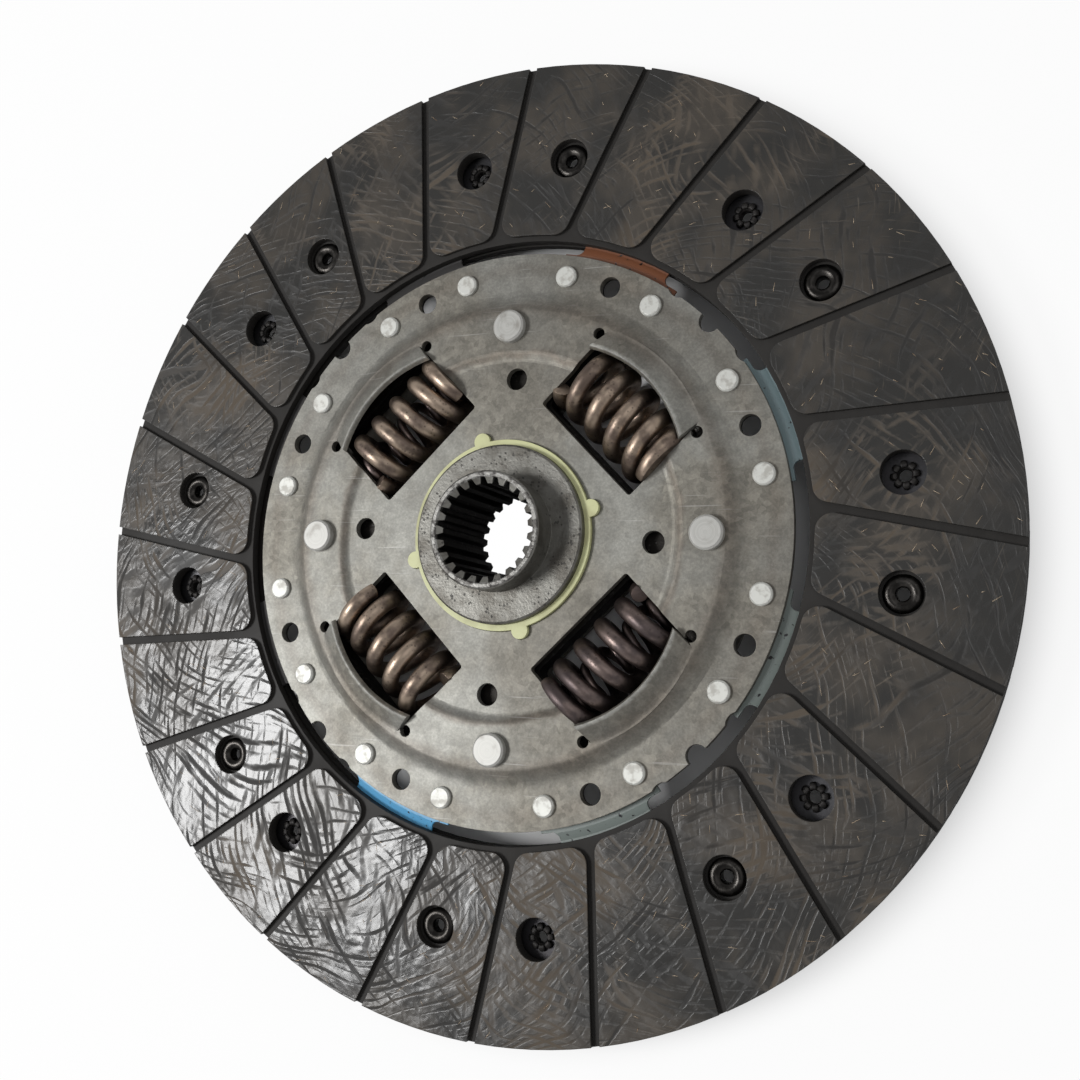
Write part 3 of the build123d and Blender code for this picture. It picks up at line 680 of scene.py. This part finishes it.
@dataclass(frozen=True)
class RivetSteel(Finish):
    """Rivet metal, bright or blackened.

    Attributes:
        colour: The metal.
        wear_and_highlight: The colour of its blotches.
        roughness: Its roughness.
        metallic: How much of it shows as bare metal.
    """

    colour: Colour = (0.60, 0.602, 0.565)
    # wear_and_highlight: The colour of its blotches.
    wear_and_highlight: Colour = (0.43, 0.42, 0.385)
    roughness: float = 0.54
    metallic: float = 0.5

    def dress(self, graph: Graph, shader: bpy.types.Node) -> None:
        """Feeds the shader with blotches and small dents."""
        point = graph.place()
        blotch = graph.noise(point, 420.0, 3.0, 0.6)
        fine = graph.noise(point, 2600.0, 2.0)
        colour = graph.blend(graph.between(blotch, 0.46, 0.66), self.colour, self.wear_and_highlight)
        rough = graph.maths("MULTIPLY_ADD", blotch, 0.2, self.roughness - 0.1)
        graph.fill(shader, {"Base Color": colour, "Roughness": rough, "Metallic": self.metallic})
        self.relief(graph, shader, graph.maths("MULTIPLY_ADD", fine, 0.5, blotch), 0.00006, 0.5)


@dataclass(frozen=True)
class SpringWire(Finish):
    """Oil-tempered wire, bronze where it is rubbed.

    Attributes:
        colour: The rubbed wire.
        dark: The scale that stays between the rubbed places.
        pit: The small dark pits.
    """

    colour: Colour = (0.40, 0.315, 0.245)
    dark: Colour = (0.16, 0.122, 0.10)
    pit: Colour = (0.05, 0.04, 0.035)

    def dress(self, graph: Graph, shader: bpy.types.Node) -> None:
        """Feeds the shader with scale and drawing marks."""
        point = graph.place()
        cloud = graph.noise(point, 170.0, 3.0, 0.6)
        fine = graph.noise(point, 1900.0, 3.0, 0.6)
        colour = graph.blend(graph.between(cloud, 0.36, 0.62), self.colour, self.dark)
        speck = graph.grouped(speckle_group(), {"Vector": point, "Scale": 900.0})["Speck"]
        colour = graph.blend(graph.maths("MULTIPLY", speck, 0.5), colour, self.pit)
        rough = graph.maths("MULTIPLY_ADD", cloud, 0.22, 0.33)
        graph.fill(shader, {"Base Color": colour, "Roughness": rough, "Metallic": 1.0})
        self.relief(graph, shader, fine, 0.00003, 0.5)


@dataclass(frozen=True)
class PhosphatedForging(Finish):
    """The hub: a grey phosphate coat with black specks and a machined nose face.

    Attributes:
        nose_height: The height from which the nose's end face counts.
        mouth_height: The height up to which the bore is dark.
        bore_radius: The bore's radius over its gullets.
        collar_radius: The radius beyond which the hub lies out of sight between the plates.
        coat: The phosphate coat.
        dark_coat: The coat in its blotches.
        bright_face: The machined nose face.
        dark_face: The face in its mottle.
        oil_and_painted_shade: The bore, dark with oil and painted shade, and the flange, darkened as painted
            shade between the plates.
        speck: The black specks.
    """

    nose_height: float = 0.0278
    mouth_height: float = 0.0266
    bore_radius: float = 0.0134
    collar_radius: float = 0.0229
    coat: Colour = (0.205, 0.20, 0.182)
    dark_coat: Colour = (0.115, 0.108, 0.095)
    bright_face: Colour = (0.27, 0.265, 0.25)
    dark_face: Colour = (0.085, 0.08, 0.075)
    oil_and_painted_shade: Colour = (0.022, 0.020, 0.018)
    speck: Colour = (0.035, 0.033, 0.03)

    def dress(self, graph: Graph, shader: bpy.types.Node) -> None:
        """Feeds the shader with the coat, the specks and the nose face."""
        point = graph.place()
        marks = graph.grouped(sheet_marks_group(), {"Vector": point})
        speck = graph.grouped(speckle_group(), {"Vector": point, "Scale": 800.0})["Speck"]
        blotch = graph.between(graph.noise(point, 95.0, 4.0, 0.65), 0.40, 0.62)
        colour = graph.blend(blotch, self.coat, self.dark_coat)
        _, _, height = graph.split(point)
        nose = graph.between(height, self.nose_height, self.nose_height + 0.0001)
        mottled = graph.between(graph.noise(point, 420.0, 4.0, 0.7), 0.42, 0.60)
        face = graph.blend(mottled, self.bright_face, self.dark_face)
        away = graph.radius(point)
        # The bore stays dark up to the tooth ends at its mouth: oil and painted shade
        bore = graph.between(away, self.bore_radius, self.bore_radius + 0.0003, 1.0, 0.0)
        below = graph.between(height, self.mouth_height, self.mouth_height + 0.0006, 1.0, 0.0)
        bore = graph.maths("MULTIPLY", bore, below)
        # Painted shade on the flange, which lies deep between the plates
        flange = graph.between(away, self.collar_radius + 0.0005, self.collar_radius + 0.0012)
        colour = graph.blend(graph.maths("MAXIMUM", bore, flange), colour, self.oil_and_painted_shade)
        colour = graph.blend(nose, colour, face)
        colour = graph.blend(graph.maths("MULTIPLY", speck, 0.8), colour, self.speck)
        rough = graph.maths("MULTIPLY_ADD", marks["Cloud"], 0.2, 0.38)
        metallic = graph.maths("MULTIPLY_ADD", speck, -0.4, 0.9)
        graph.fill(shader, {"Base Color": colour, "Roughness": rough, "Metallic": metallic})
        skin = graph.maths("MULTIPLY_ADD", graph.noise(point, 700.0, 3.0, 0.6), 1.2, marks["Grain"])
        level = graph.maths("MULTIPLY_ADD", speck, -0.6, skin)
        self.relief(graph, shader, level, 0.00008, 0.9)


@dataclass(frozen=True)
class MouldedPlastic(Finish):
    """Moulded plastic with a faint mottle.

    Attributes:
        colour: The clean plastic.
        shade: The plastic where oil has darkened it.
        roughness: Its roughness.
    """

    colour: Colour = (0.60, 0.61, 0.33)
    shade: Colour = (0.48, 0.475, 0.25)
    roughness: float = 0.42

    def dress(self, graph: Graph, shader: bpy.types.Node) -> None:
        """Feeds the shader with the mottle."""
        point = graph.place()
        cloud = graph.noise(point, 150.0, 3.0)
        fine = graph.noise(point, 1400.0, 2.0)
        colour = graph.blend(graph.between(cloud, 0.42, 0.66), self.colour, self.shade)
        rough = graph.maths("MULTIPLY_ADD", cloud, 0.15, self.roughness - 0.07)
        graph.fill(shader, {"Base Color": colour, "Roughness": rough})
        self.relief(graph, shader, fine, 0.00003, 0.5)


class NeckPaint(Enum):
    """The colours that mark the cushion segments' necks."""

    NONE = (0.045, 0.043, 0.042)
    COPPER = (0.20, 0.075, 0.035)
    BLUE_GREY = (0.19, 0.26, 0.275)
    LIGHT_BLUE = (0.10, 0.36, 0.62)
    GREY = (0.19, 0.22, 0.205)


@dataclass(frozen=True)
class SpringSheet(Finish):
    """A cushion segment: dark hardened sheet with a worn paint mark on its neck.

    Attributes:
        paint: The mark's colour.
        mark_start: The radius from which the paint covers the neck.
        mark_end: The radius up to which it does.
        fade_in: How far the mark's inner edge fades.
        fade_out: How far its outer edge fades.
        sheet: The hardened sheet.
        dark_sheet: The sheet in its clouds.
    """

    paint: NeckPaint = NeckPaint.NONE
    mark_start: float = 0.0722
    mark_end: float = 0.0809
    fade_in: float = 0.0008
    fade_out: float = 0.0010
    sheet: Colour = (0.10, 0.10, 0.105)
    dark_sheet: Colour = (0.055, 0.053, 0.056)

    def dress(self, graph: Graph, shader: bpy.types.Node) -> None:
        """Feeds the shader with the sheet and its mark."""
        point = graph.place()
        marks = graph.grouped(sheet_marks_group(), {"Vector": point})
        steel = graph.blend(graph.between(marks["Cloud"], 0.4, 0.6), self.sheet, self.dark_sheet)
        radius = graph.radius(point)
        ragged = graph.maths("MULTIPLY_ADD", graph.noise(point, 300.0, 3.0), 0.0012, radius)
        inside = graph.between(ragged, self.mark_start, self.mark_start + self.fade_in)
        outside = graph.between(ragged, self.mark_end, self.mark_end + self.fade_out, 1.0, 0.0)
        cover = graph.maths("MULTIPLY", inside, outside)
        cover = graph.maths("MULTIPLY", cover, graph.between(graph.noise(point, 700.0, 3.0), 0.30, 0.36))
        colour = graph.blend(cover, steel, self.paint.value)
        rough = graph.maths("MULTIPLY_ADD", marks["Cloud"], 0.2, 0.32)
        metallic = graph.maths("SUBTRACT", 1.0, cover)
        graph.fill(shader, {"Base Color": colour, "Roughness": rough, "Metallic": metallic})
        self.relief(graph, shader, graph.maths("ADD", cover, marks["Grain"]), 0.00004, 0.6)


def coat(name: str, finish: Finish) -> None:
    """Gives a CAD node its finish in place of the plain one.

    Args:
        name: The node.
        finish: The finish that it gets.
    """
    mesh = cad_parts[name].data
    mesh.materials.clear()
    mesh.materials.append(finish.material())
    LOG.info("%s: %s", name, finish.name)


def add_copies(target: bmesh.types.BMesh, shape: bmesh.types.BMesh, places: list[Matrix]) -> None:
    """Adds copies of one shape to a mesh, with their faces outwards, and frees the shape.

    Args:
        target: The mesh that gets them.
        shape: The shape.
        places: Where each copy goes.
    """
    bmesh.ops.recalc_face_normals(shape, faces=shape.faces)
    pattern = bpy.data.meshes.new("pattern")
    shape.to_mesh(pattern)
    shape.free()
    for place in places:
        copy = pattern.copy()
        copy.transform(place)
        target.from_mesh(copy)
        bpy.data.meshes.remove(copy)
    bpy.data.meshes.remove(pattern)


def new_piece(name: str, shape: bmesh.types.BMesh, material: bpy.types.Material) -> bpy.types.Object:
    """Makes an object of a shape, and frees the shape.

    Args:
        name: The object's name.
        shape: The shape.
        material: Its only material.

    Returns:
        The object, in the scene.
    """
    mesh = bpy.data.meshes.new(name)
    shape.to_mesh(mesh)
    shape.free()
    mesh.materials.append(material)
    piece = bpy.data.objects.new(name, mesh)
    bpy.context.scene.collection.objects.link(piece)
    return piece


# ---- Sub-assemblies ------------------------------------------------------------


@dataclass
class LiningRivets:
    """The hollow rivets of one lining: a domed head with a hole, and a star-crimped tail.

    Attributes:
        node: The CAD node that they stand for.
        turned_over: Whether their heads point down.
        first_angle: The first rivet's place round the disc, in degrees.
        seat: The height of the surface under their heads, in metres.
        count: How many there are.
        circle: The radius of the circle that they stand on.
        head_radius: The head's radius.
        head_height: The height of the head's crest.
        head_edge: The height of the head's rim.
        head_bevel: How far the head's rim and hole are rounded.
        crest_half: Half the width of the head's crest.
        hollow_radius: The radius of the hole through them.
        shank_radius: The shank's radius.
        grip: How far the head and the tail lie apart.
        tail_radius: The radius that the crimped tail reaches.
        tail_height: How far the tail stands out.
        tail_wall: The thickness of its petals.
        petals: How many petals it splits into.
        petal_share: The petals' share of the round.
        tip_taper: How much narrower their tips are than their roots.
        steps: How many flats the turned head has.
    """

    node: str
    turned_over: bool
    first_angle: float
    seat: float
    count: int = 8
    circle: float = 0.0996
    head_radius: float = 0.0045
    head_height: float = 0.0010
    head_edge: float = 0.00035
    head_bevel: float = 0.0002
    crest_half: float = 0.0006
    hollow_radius: float = 0.0016
    shank_radius: float = 0.0024
    grip: float = 0.0019
    tail_radius: float = 0.0035
    tail_height: float = 0.0011
    tail_wall: float = 0.00035
    petals: int = 8
    petal_share: float = 0.86
    tip_taper: float = 0.42
    steps: int = 40

    def build(self) -> bpy.types.Object:
        """Builds all the rivets as one piece that replaces the CAD node.

        Returns:
            The piece.
        """
        one = bmesh.new()
        self.add_body(one)
        self.add_petals(one)
        if self.turned_over:
            bmesh.ops.transform(one, matrix=Matrix.Rotation(math.pi, 4, "X"), verts=one.verts)
        seat = Matrix.Translation((self.circle, 0.0, self.seat))
        turns = [math.radians(self.first_angle + 360.0 / self.count * index) for index in range(self.count)]
        everything = bmesh.new()
        add_copies(everything, one, [Matrix.Rotation(turn, 4, "Z") @ seat for turn in turns])
        # The turned-over rivets' tails sit deep in the front lining's counterbores and get a darker finish as
        # painted shade
        finish = SHADED_CRIMPED_TAIL if self.turned_over else BLACK_RIVET
        piece = new_piece(self.node + "_hollow", everything, finish.material())
        piece.data.shade_smooth()
        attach(piece, "disc")
        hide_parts(self.node)
        LOG.info("%s: %d rivets, %d faces", piece.name, self.count, len(piece.data.polygons))
        return piece

    def add_body(self, one: bmesh.types.BMesh) -> None:
        """Turns the head and the shank about the rivet's axis.

        Args:
            one: The rivet's mesh so far.
        """
        crest = (self.head_radius + self.hollow_radius) / 2
        shoulder = self.head_height * 0.9
        foot = -self.grip - self.tail_height * 0.5
        profile = [
            (self.hollow_radius, foot),
            (self.hollow_radius, self.head_edge * 0.6),
            (self.hollow_radius + self.head_bevel, self.head_edge),
            (crest - self.crest_half, shoulder),
            (crest, self.head_height),
            (crest + self.crest_half, shoulder),
            (self.head_radius - self.head_bevel, self.head_edge * 1.25),
            (self.head_radius, self.head_edge * 0.7),
            (self.head_radius, 0.0),
            (self.shank_radius, 0.0),
            (self.shank_radius, -self.grip),
            (self.shank_radius - 0.0001, foot),
        ]
        corners = [one.verts.new((radius, 0.0, height)) for radius, height in profile]
        edges = [one.edges.new(pair) for pair in zip(corners, corners[1:] + corners[:1])]
        bmesh.ops.spin(
            one, geom=corners + edges, cent=(0, 0, 0), axis=(0, 0, 1), angle=2 * math.pi,
            steps=self.steps, use_merge=True,
        )

    def add_petals(self, one: bmesh.types.BMesh) -> None:
        """Splits the tail into petals that are rolled out flat.

        Args:
            one: The rivet's mesh so far.
        """
        low = -self.grip - self.tail_height
        # One petal's section, from its root round its tip and back
        section = [
            (self.hollow_radius, low + 0.00045),
            (self.hollow_radius + 0.0003, low + 0.0001),
            (self.shank_radius, low),
            (self.tail_radius - 0.0003, low + 0.00035),
            (self.tail_radius, low + 0.0007),
            (self.tail_radius - self.tail_wall, low + 0.0008),
            (self.shank_radius, low + self.tail_wall + 0.0001),
            (self.hollow_radius + self.tail_wall, low + 0.0006),
        ]
        width = 2 * math.pi / self.petals * self.petal_share
        petal = bmesh.new()
        corners = [petal.verts.new((radius, 0.0, height)) for radius, height in section]
        start = petal.faces.new(corners)
        bmesh.ops.spin(petal, geom=[start], cent=(0, 0, 0), axis=(0, 0, 1), angle=width, steps=4)
        bmesh.ops.transform(petal, matrix=Matrix.Rotation(-width / 2, 4, "Z"), verts=petal.verts)
        # The tips are narrower than the roots
        rolled = self.tail_radius - self.shank_radius
        for corner in petal.verts:
            beyond = (math.hypot(corner.co.x, corner.co.y) - self.shank_radius) / rolled
            if beyond > 0:
                corner.co.y *= 1.0 - self.tip_taper * min(beyond, 1.0)
        turns = [2 * math.pi / self.petals * index for index in range(self.petals)]
        add_copies(one, petal, [Matrix.Rotation(turn, 4, "Z") for turn in turns])


@dataclass
class LiningSet:
    """Both linings, their rivets and the brass fibres in the pads' ground faces.

    Attributes:
        circle: The radius of the rivets' circle.
        rivet_swing: How far each rivet stands off its segment's middle, in degrees.
        front_seat: The height under the front rivets' heads.
        rear_seat: The same for the rear ones, measured from below once they are turned over.
        face_height: The height of the front pads' ground faces.
        inner_radius: The radius from which fibres lie on the pads.
        outer_radius: The radius up to which they do.
        groove_offset: How far the grooves pass beside the disc's axis.
        groove_width: The grooves' width.
        groove_direction: The first groove's direction, in degrees.
        groove_count: How many grooves there are.
        groove_margin: How far the fibres keep off the grooves.
        segment_count: How many segments the rivets stand on.
        hole_radius: The counterbores' radius.
        hole_margin: How far the fibres keep off the counterbores.
        fibre_count: How many fibres there are.
        fibre_radius: The fibres' radius.
        fibre_lengths: The shortest and the longest fibre.
        fibre_slants: The least and the greatest slant from the radius, in radians.
        seed: The seed of the random draws.
    """

    circle: float = 0.0996
    rivet_swing: float = 7.9
    front_seat: float = 0.0139
    rear_seat: float = 0.0099
    face_height: float = 0.0162
    inner_radius: float = 0.0800
    outer_radius: float = 0.1240
    groove_offset: float = 0.0216
    groove_width: float = 0.0022
    groove_direction: float = 4.0
    groove_count: int = 24
    groove_margin: float = 0.0016
    segment_count: int = 8
    hole_radius: float = 0.0052
    hole_margin: float = 0.0018
    fibre_count: int = 320
    fibre_radius: float = 0.00008
    fibre_lengths: tuple[float, float] = (0.0006, 0.0024)
    fibre_slants: tuple[float, float] = (0.5, 1.2)
    seed: int = 11

    def build(self) -> None:
        """Dresses the linings and adds the pieces of its own."""
        coat("front_lining", FACING)
        coat("rear_lining", FACING)
        LiningRivets("front_lining_rivets", False, -self.rivet_swing, self.front_seat).build()
        LiningRivets("rear_lining_rivets", True, self.rivet_swing, self.rear_seat).build()
        self.fibres()

    def is_on_pad(self, x: float, y: float) -> bool:
        """Tells whether a point lies on a pad, clear of grooves and rivet holes.

        Args:
            x: The point's place along the disc's X.
            y: The point's place along the disc's Y.

        Returns:
            True where a fibre fits.
        """
        step = 2 * math.pi / self.groove_count
        for index in range(self.groove_count):
            turn = math.radians(self.groove_direction) + step * index
            ahead = x * math.cos(turn) + y * math.sin(turn)
            aside = -x * math.sin(turn) + y * math.cos(turn)
            if ahead > 0 and abs(aside - self.groove_offset) < self.groove_width / 2 + self.groove_margin:
                return False
        for index in range(self.segment_count):
            for swing in (-self.rivet_swing, self.rivet_swing):
                turn = math.radians(360.0 / self.segment_count * index + swing)
                away = math.hypot(x - self.circle * math.cos(turn), y - self.circle * math.sin(turn))
                if away < self.hole_radius + self.hole_margin:
                    return False
        return True

    def fibres(self) -> None:
        """Lays short brass fibres along the yarn, half sunk in the front pads' faces."""
        draw = random.Random(self.seed)
        lot = bmesh.new()
        laid = 0
        while laid < self.fibre_count:
            radius = draw.uniform(self.inner_radius, self.outer_radius)
            angle = draw.uniform(0, 2 * math.pi)
            length = draw.uniform(*self.fibre_lengths)
            slant = draw.choice((-1, 1)) * draw.uniform(*self.fibre_slants)
            x, y = radius * math.cos(angle), radius * math.sin(angle)
            if not self.is_on_pad(x, y):
                continue
            made = bmesh.ops.create_cone(
                lot, cap_ends=True, segments=6, radius1=self.fibre_radius, radius2=self.fibre_radius * 0.7,
                depth=length,
            )
            lying = Matrix.Rotation(angle + slant, 4, "Z") @ Matrix.Rotation(math.pi / 2, 4, "Y")
            spot = Matrix.Translation((x, y, self.face_height))
            bmesh.ops.transform(lot, matrix=spot @ lying, verts=made["verts"])
            laid += 1
        piece = new_piece("pad_fibres", lot, BRASS_FIBRE.material())
        piece.data.shade_smooth()
        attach(piece, "disc")
        LOG.info("pad_fibres: %d fibres", laid)


@dataclass
class CushionSegments:
    """The eight spring segments between the linings.

    Attributes:
        paints: The mark on each segment's neck, in their order.
    """

    paints: tuple[NeckPaint, ...] = (
        NeckPaint.BLUE_GREY, NeckPaint.COPPER, NeckPaint.NONE, NeckPaint.NONE,
        NeckPaint.NONE, NeckPaint.LIGHT_BLUE, NeckPaint.GREY, NeckPaint.GREY,
    )

    def build(self) -> None:
        """Gives each segment its paint mark."""
        for number, paint in enumerate(self.paints, start=1):
            sheet = SpringSheet(f"spring_sheet_{paint.name.lower()}", paint=paint)
            coat(f"cushion_segment_{number}", sheet)


@dataclass
class RetainerPlates:
    """The two pressed plates, the rivets of the segments and the stop pins.

    Attributes:
        pins: How many stop pins there are.
    """

    pins: int = 4

    def build(self) -> None:
        """Dresses the plates and what holds them together."""
        coat("front_retainer_plate", PLATE)
        coat("rear_retainer_plate", PLATE)
        coat("plate_rivets", BRIGHT_RIVET)
        for number in range(1, self.pins + 1):
            coat(f"stop_pin_{number}", PIN)


@dataclass
class DamperSprings:
    """The coil springs, which shorten between the plates' windows and the hub's.

    Attributes:
        count: How many windows there are.
        keep: The share of its length that a spring keeps at the joint's limits; not used.
        distance: How far the springs' middles lie from the disc's axis; not used.
        height: The height of their middles; not used.
        darker: The windows whose outer spring is dark.
        inner: The windows that hold an inner spring too.
    """

    count: int = 4
    keep: float = 0.755
    distance: float = 0.0426
    height: float = 0.0108
    darker: tuple[int, ...] = (4,)
    inner: tuple[int, ...] = (2, 4)

    def build(self) -> None:
        """Dresses the springs and gives each one a mesh of its own."""
        for number in range(1, self.count + 1):
            coat(f"damper_spring_{number}", DARK_WIRE if number in self.darker else BRONZE_WIRE)
            self.shorten(f"damper_spring_{number}")
            if number in self.inner:
                coat(f"inner_spring_{number}", DARK_WIRE)
                self.shorten(f"inner_spring_{number}")

    def shorten(self, name: str) -> None:
        """Gives one spring a mesh of its own, not shared with any other object.

        Args:
            name: The spring's node.
        """
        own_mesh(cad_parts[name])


@dataclass
class HubSet:
    """The splined hub, its front bush and the rear friction pack."""

    def build(self) -> None:
        """Dresses the hub and what rubs on it."""
        coat("hub", HUB)
        coat("front_bush", BUSH)
        coat("friction_washer", WASHER)
        coat("pressure_plate", PACK_STEEL)
        coat("cone_spring", PACK_STEEL)


@dataclass(frozen=True)
class Panel:
    """A soft lamp that faces the disc.

    Attributes:
        name: Its name.
        azimuth: Its direction round the disc, in degrees.
        elevation: Its height above the floor, in degrees.
        distance: How far it stands from the disc, in metres.
        width: Its width.
        height: Its height.
        power: Its power, in watts.
    """

    name: str
    azimuth: float
    elevation: float
    distance: float
    width: float
    height: float
    power: float

    def build(self) -> None:
        """Adds the lamp to the scene."""
        data = bpy.data.lights.new(self.name, "AREA")
        data.shape = "RECTANGLE"
        data.size, data.size_y = self.width, self.height
        data.energy = self.power
        turn, rise = math.radians(self.azimuth), math.radians(self.elevation)
        level = math.cos(rise)
        outward = Vector((level * math.cos(turn), level * math.sin(turn), math.sin(rise)))
        lamp = bpy.data.objects.new(self.name, data)
        lamp.location = outward * self.distance
        lamp.rotation_euler = outward.to_track_quat("Z", "Y").to_euler()
        bpy.context.scene.collection.objects.link(lamp)


@dataclass
class Studio:
    """The floor, the soft lights and the camera.

    Attributes:
        camera_place: Where the camera stands, in metres.
        camera_forward: Where it looks.
        camera_up: Its upward direction.
        focal_length: Its lens, in millimetres.
        sensor: Its sensor's width, in millimetres.
        clip_start: How near it sees, in metres.
        floor_half: Half the floor's side.
        floor_drop: How far the floor lies under the hub's rear end.
        panels: The key lamp and the fill lamp.
        shadow_inner: The radius up to which the floor keeps the disc's whole shade.
        shadow_outer: The radius from which it shows nearly white.
        beside_share: How much of it is white there.
        bore_radius: The radius within which it is white under the bore.
        rear_radius: The radius from which it has its shade again.
        wall: The colour of the pale walls.
        ceiling: The colour of the ceiling.
    """

    camera_place: tuple[float, float, float] = (0.1363, -0.0379, 0.3050)
    camera_forward: tuple[float, float, float] = (-0.3972, 0.1155, -0.9104)
    camera_up: tuple[float, float, float] = (0.0054, 0.9923, 0.1235)
    focal_length: float = 42.017
    sensor: float = 36.0
    clip_start: float = 0.01
    floor_half: float = 6.0
    floor_drop: float = 0.0001
    panels: tuple[Panel, ...] = (
        Panel("key_panel", azimuth=192.0, elevation=53.0, distance=1.1, width=0.36, height=0.28, power=7.6),
        Panel("fill_panel", azimuth=20.0, elevation=60.0, distance=1.6, width=1.2, height=0.9, power=3.0),
    )
    shadow_inner: float = 0.112
    shadow_outer: float = 0.135
    beside_share: float = 0.90
    bore_radius: float = 0.0135
    rear_radius: float = 0.0190
    wall: Colour = (0.85, 0.85, 0.85)
    ceiling: Colour = (0.27, 0.272, 0.28)

    def build(self) -> None:
        """Sets up everything round the disc."""
        self.camera()
        self.floor()
        self.world()
        for panel in self.panels:
            panel.build()
        bpy.context.scene.view_settings.view_transform = "Standard"

    def camera(self) -> None:
        """Places the camera at the viewing angle."""
        forward = Vector(self.camera_forward).normalized()
        side = forward.cross(Vector(self.camera_up)).normalized()
        up = side.cross(forward)
        turn = Matrix((side, up, -forward)).transposed().to_4x4()
        data = bpy.data.cameras.new("camera")
        data.sensor_width = self.sensor
        data.lens = self.focal_length
        data.clip_start = self.clip_start
        camera = bpy.data.objects.new("camera", data)
        camera.matrix_world = Matrix.Translation(self.camera_place) @ turn
        bpy.context.scene.collection.objects.link(camera)
        bpy.context.scene.camera = camera

    def floor(self) -> None:
        """Lays the pale floor that the hub's rear end stands on."""
        ground = bmesh.new()
        bmesh.ops.create_grid(ground, x_segments=2, y_segments=2, size=self.floor_half)
        bmesh.ops.translate(ground, verts=ground.verts, vec=(0.0, 0.0, -self.floor_drop))
        made = bpy.data.materials.new("pale_floor")
        graph = emptied_graph(made)
        pale = {"Base Color": (0.84, 0.84, 0.84), "Roughness": 0.9}
        matte = graph.node("ShaderNodeBsdfPrincipled", pale)
        glow = graph.node("ShaderNodeEmission", {"Strength": 1.0})
        # Beside the disc and inside its bore the floor shows white; under the disc it keeps its shade
        away = graph.radius(graph.place())
        beside = graph.between(away, self.shadow_inner, self.shadow_outer, 0.0, self.beside_share)
        inside = graph.between(away, self.bore_radius, self.rear_radius, 1.0, 0.0)
        share = graph.maths("MULTIPLY", self.seen_directly(graph), graph.maths("MAXIMUM", beside, inside))
        mixed = graph.node("ShaderNodeMixShader", {0: share, 1: matte.outputs[0], 2: glow.outputs[0]})
        graph.node("ShaderNodeOutputMaterial", {"Surface": mixed.outputs[0]})
        new_piece("floor", ground, made)

    def seen_directly(self, graph: Graph) -> bpy.types.NodeSocket:
        """Tells the rays that show the floor from those that light the disc.

        Args:
            graph: The floor's graph.

        Returns:
            1 for camera and transmission rays, and 0 for all others.
        """
        path = graph.node("ShaderNodeLightPath")
        total = graph.maths("ADD", path.outputs["Is Camera Ray"], path.outputs["Is Transmission Ray"])
        return graph.maths("MINIMUM", total, 1.0)

    def world(self) -> None:
        """Lights the scene from pale walls and a dimmer ceiling."""
        world = bpy.data.worlds.new("studio")
        graph = emptied_graph(world)
        direction = graph.node("ShaderNodeTexCoord").outputs["Generated"]
        _, _, height = graph.split(direction)
        share = graph.between(height, 0.1, 0.75)
        colour = graph.blend(share, self.wall, self.ceiling)
        backdrop = graph.node("ShaderNodeBackground", {"Color": colour, "Strength": 1.0})
        graph.node("ShaderNodeOutputWorld", {"Surface": backdrop.outputs[0]})
        bpy.context.scene.world = world


FACING = WovenFacing("woven_facing", edge=0.0003)
BLACK_RIVET = RivetSteel(
    "black_oxide_rivet", colour=(0.030, 0.028, 0.026), wear_and_highlight=(0.060, 0.056, 0.052),
    roughness=0.34, metallic=1.0,
)
# Blackened steel, darker than the heads as painted shade of the deep counterbores
SHADED_CRIMPED_TAIL = RivetSteel(
    "crimped_tail_in_painted_shade", colour=(0.020, 0.018, 0.017), wear_and_highlight=(0.036, 0.033, 0.031), roughness=0.58, metallic=0.5
)
BRASS_FIBRE = RivetSteel("brass_fibre", colour=(0.50, 0.40, 0.29), wear_and_highlight=(0.28, 0.19, 0.12), roughness=0.4)
BRIGHT_RIVET = RivetSteel("zinc_plated_rivet")
PLATE = SheetSteel("retainer_plate_steel", stain_rings=True)
PACK_STEEL = SheetSteel("plain_sheet_steel", colour=(0.46, 0.46, 0.45))
PIN = TurnedSteel("turned_pin")
BRONZE_WIRE = SpringWire("bronze_wire")
DARK_WIRE = SpringWire("dark_wire", colour=(0.20, 0.155, 0.14), dark=(0.10, 0.08, 0.078))
HUB = PhosphatedForging("phosphated_hub")
BUSH = MouldedPlastic("cream_bush")
WASHER = MouldedPlastic("dark_washer", colour=(0.035, 0.032, 0.03), shade=(0.022, 0.02, 0.02))


def main() -> None:
    """Builds every sub-assembly in order and reports each piece."""
    logging.basicConfig(level=logging.INFO, format="%(name)s: %(message)s")
    Studio().build()
    for assembly in (LiningSet(), CushionSegments(), RetainerPlates(), DamperSprings(), HubSet()):
        assembly.build()
        LOG.info("%s is dressed", type(assembly).__name__)


if __name__ == "__main__":
    main()
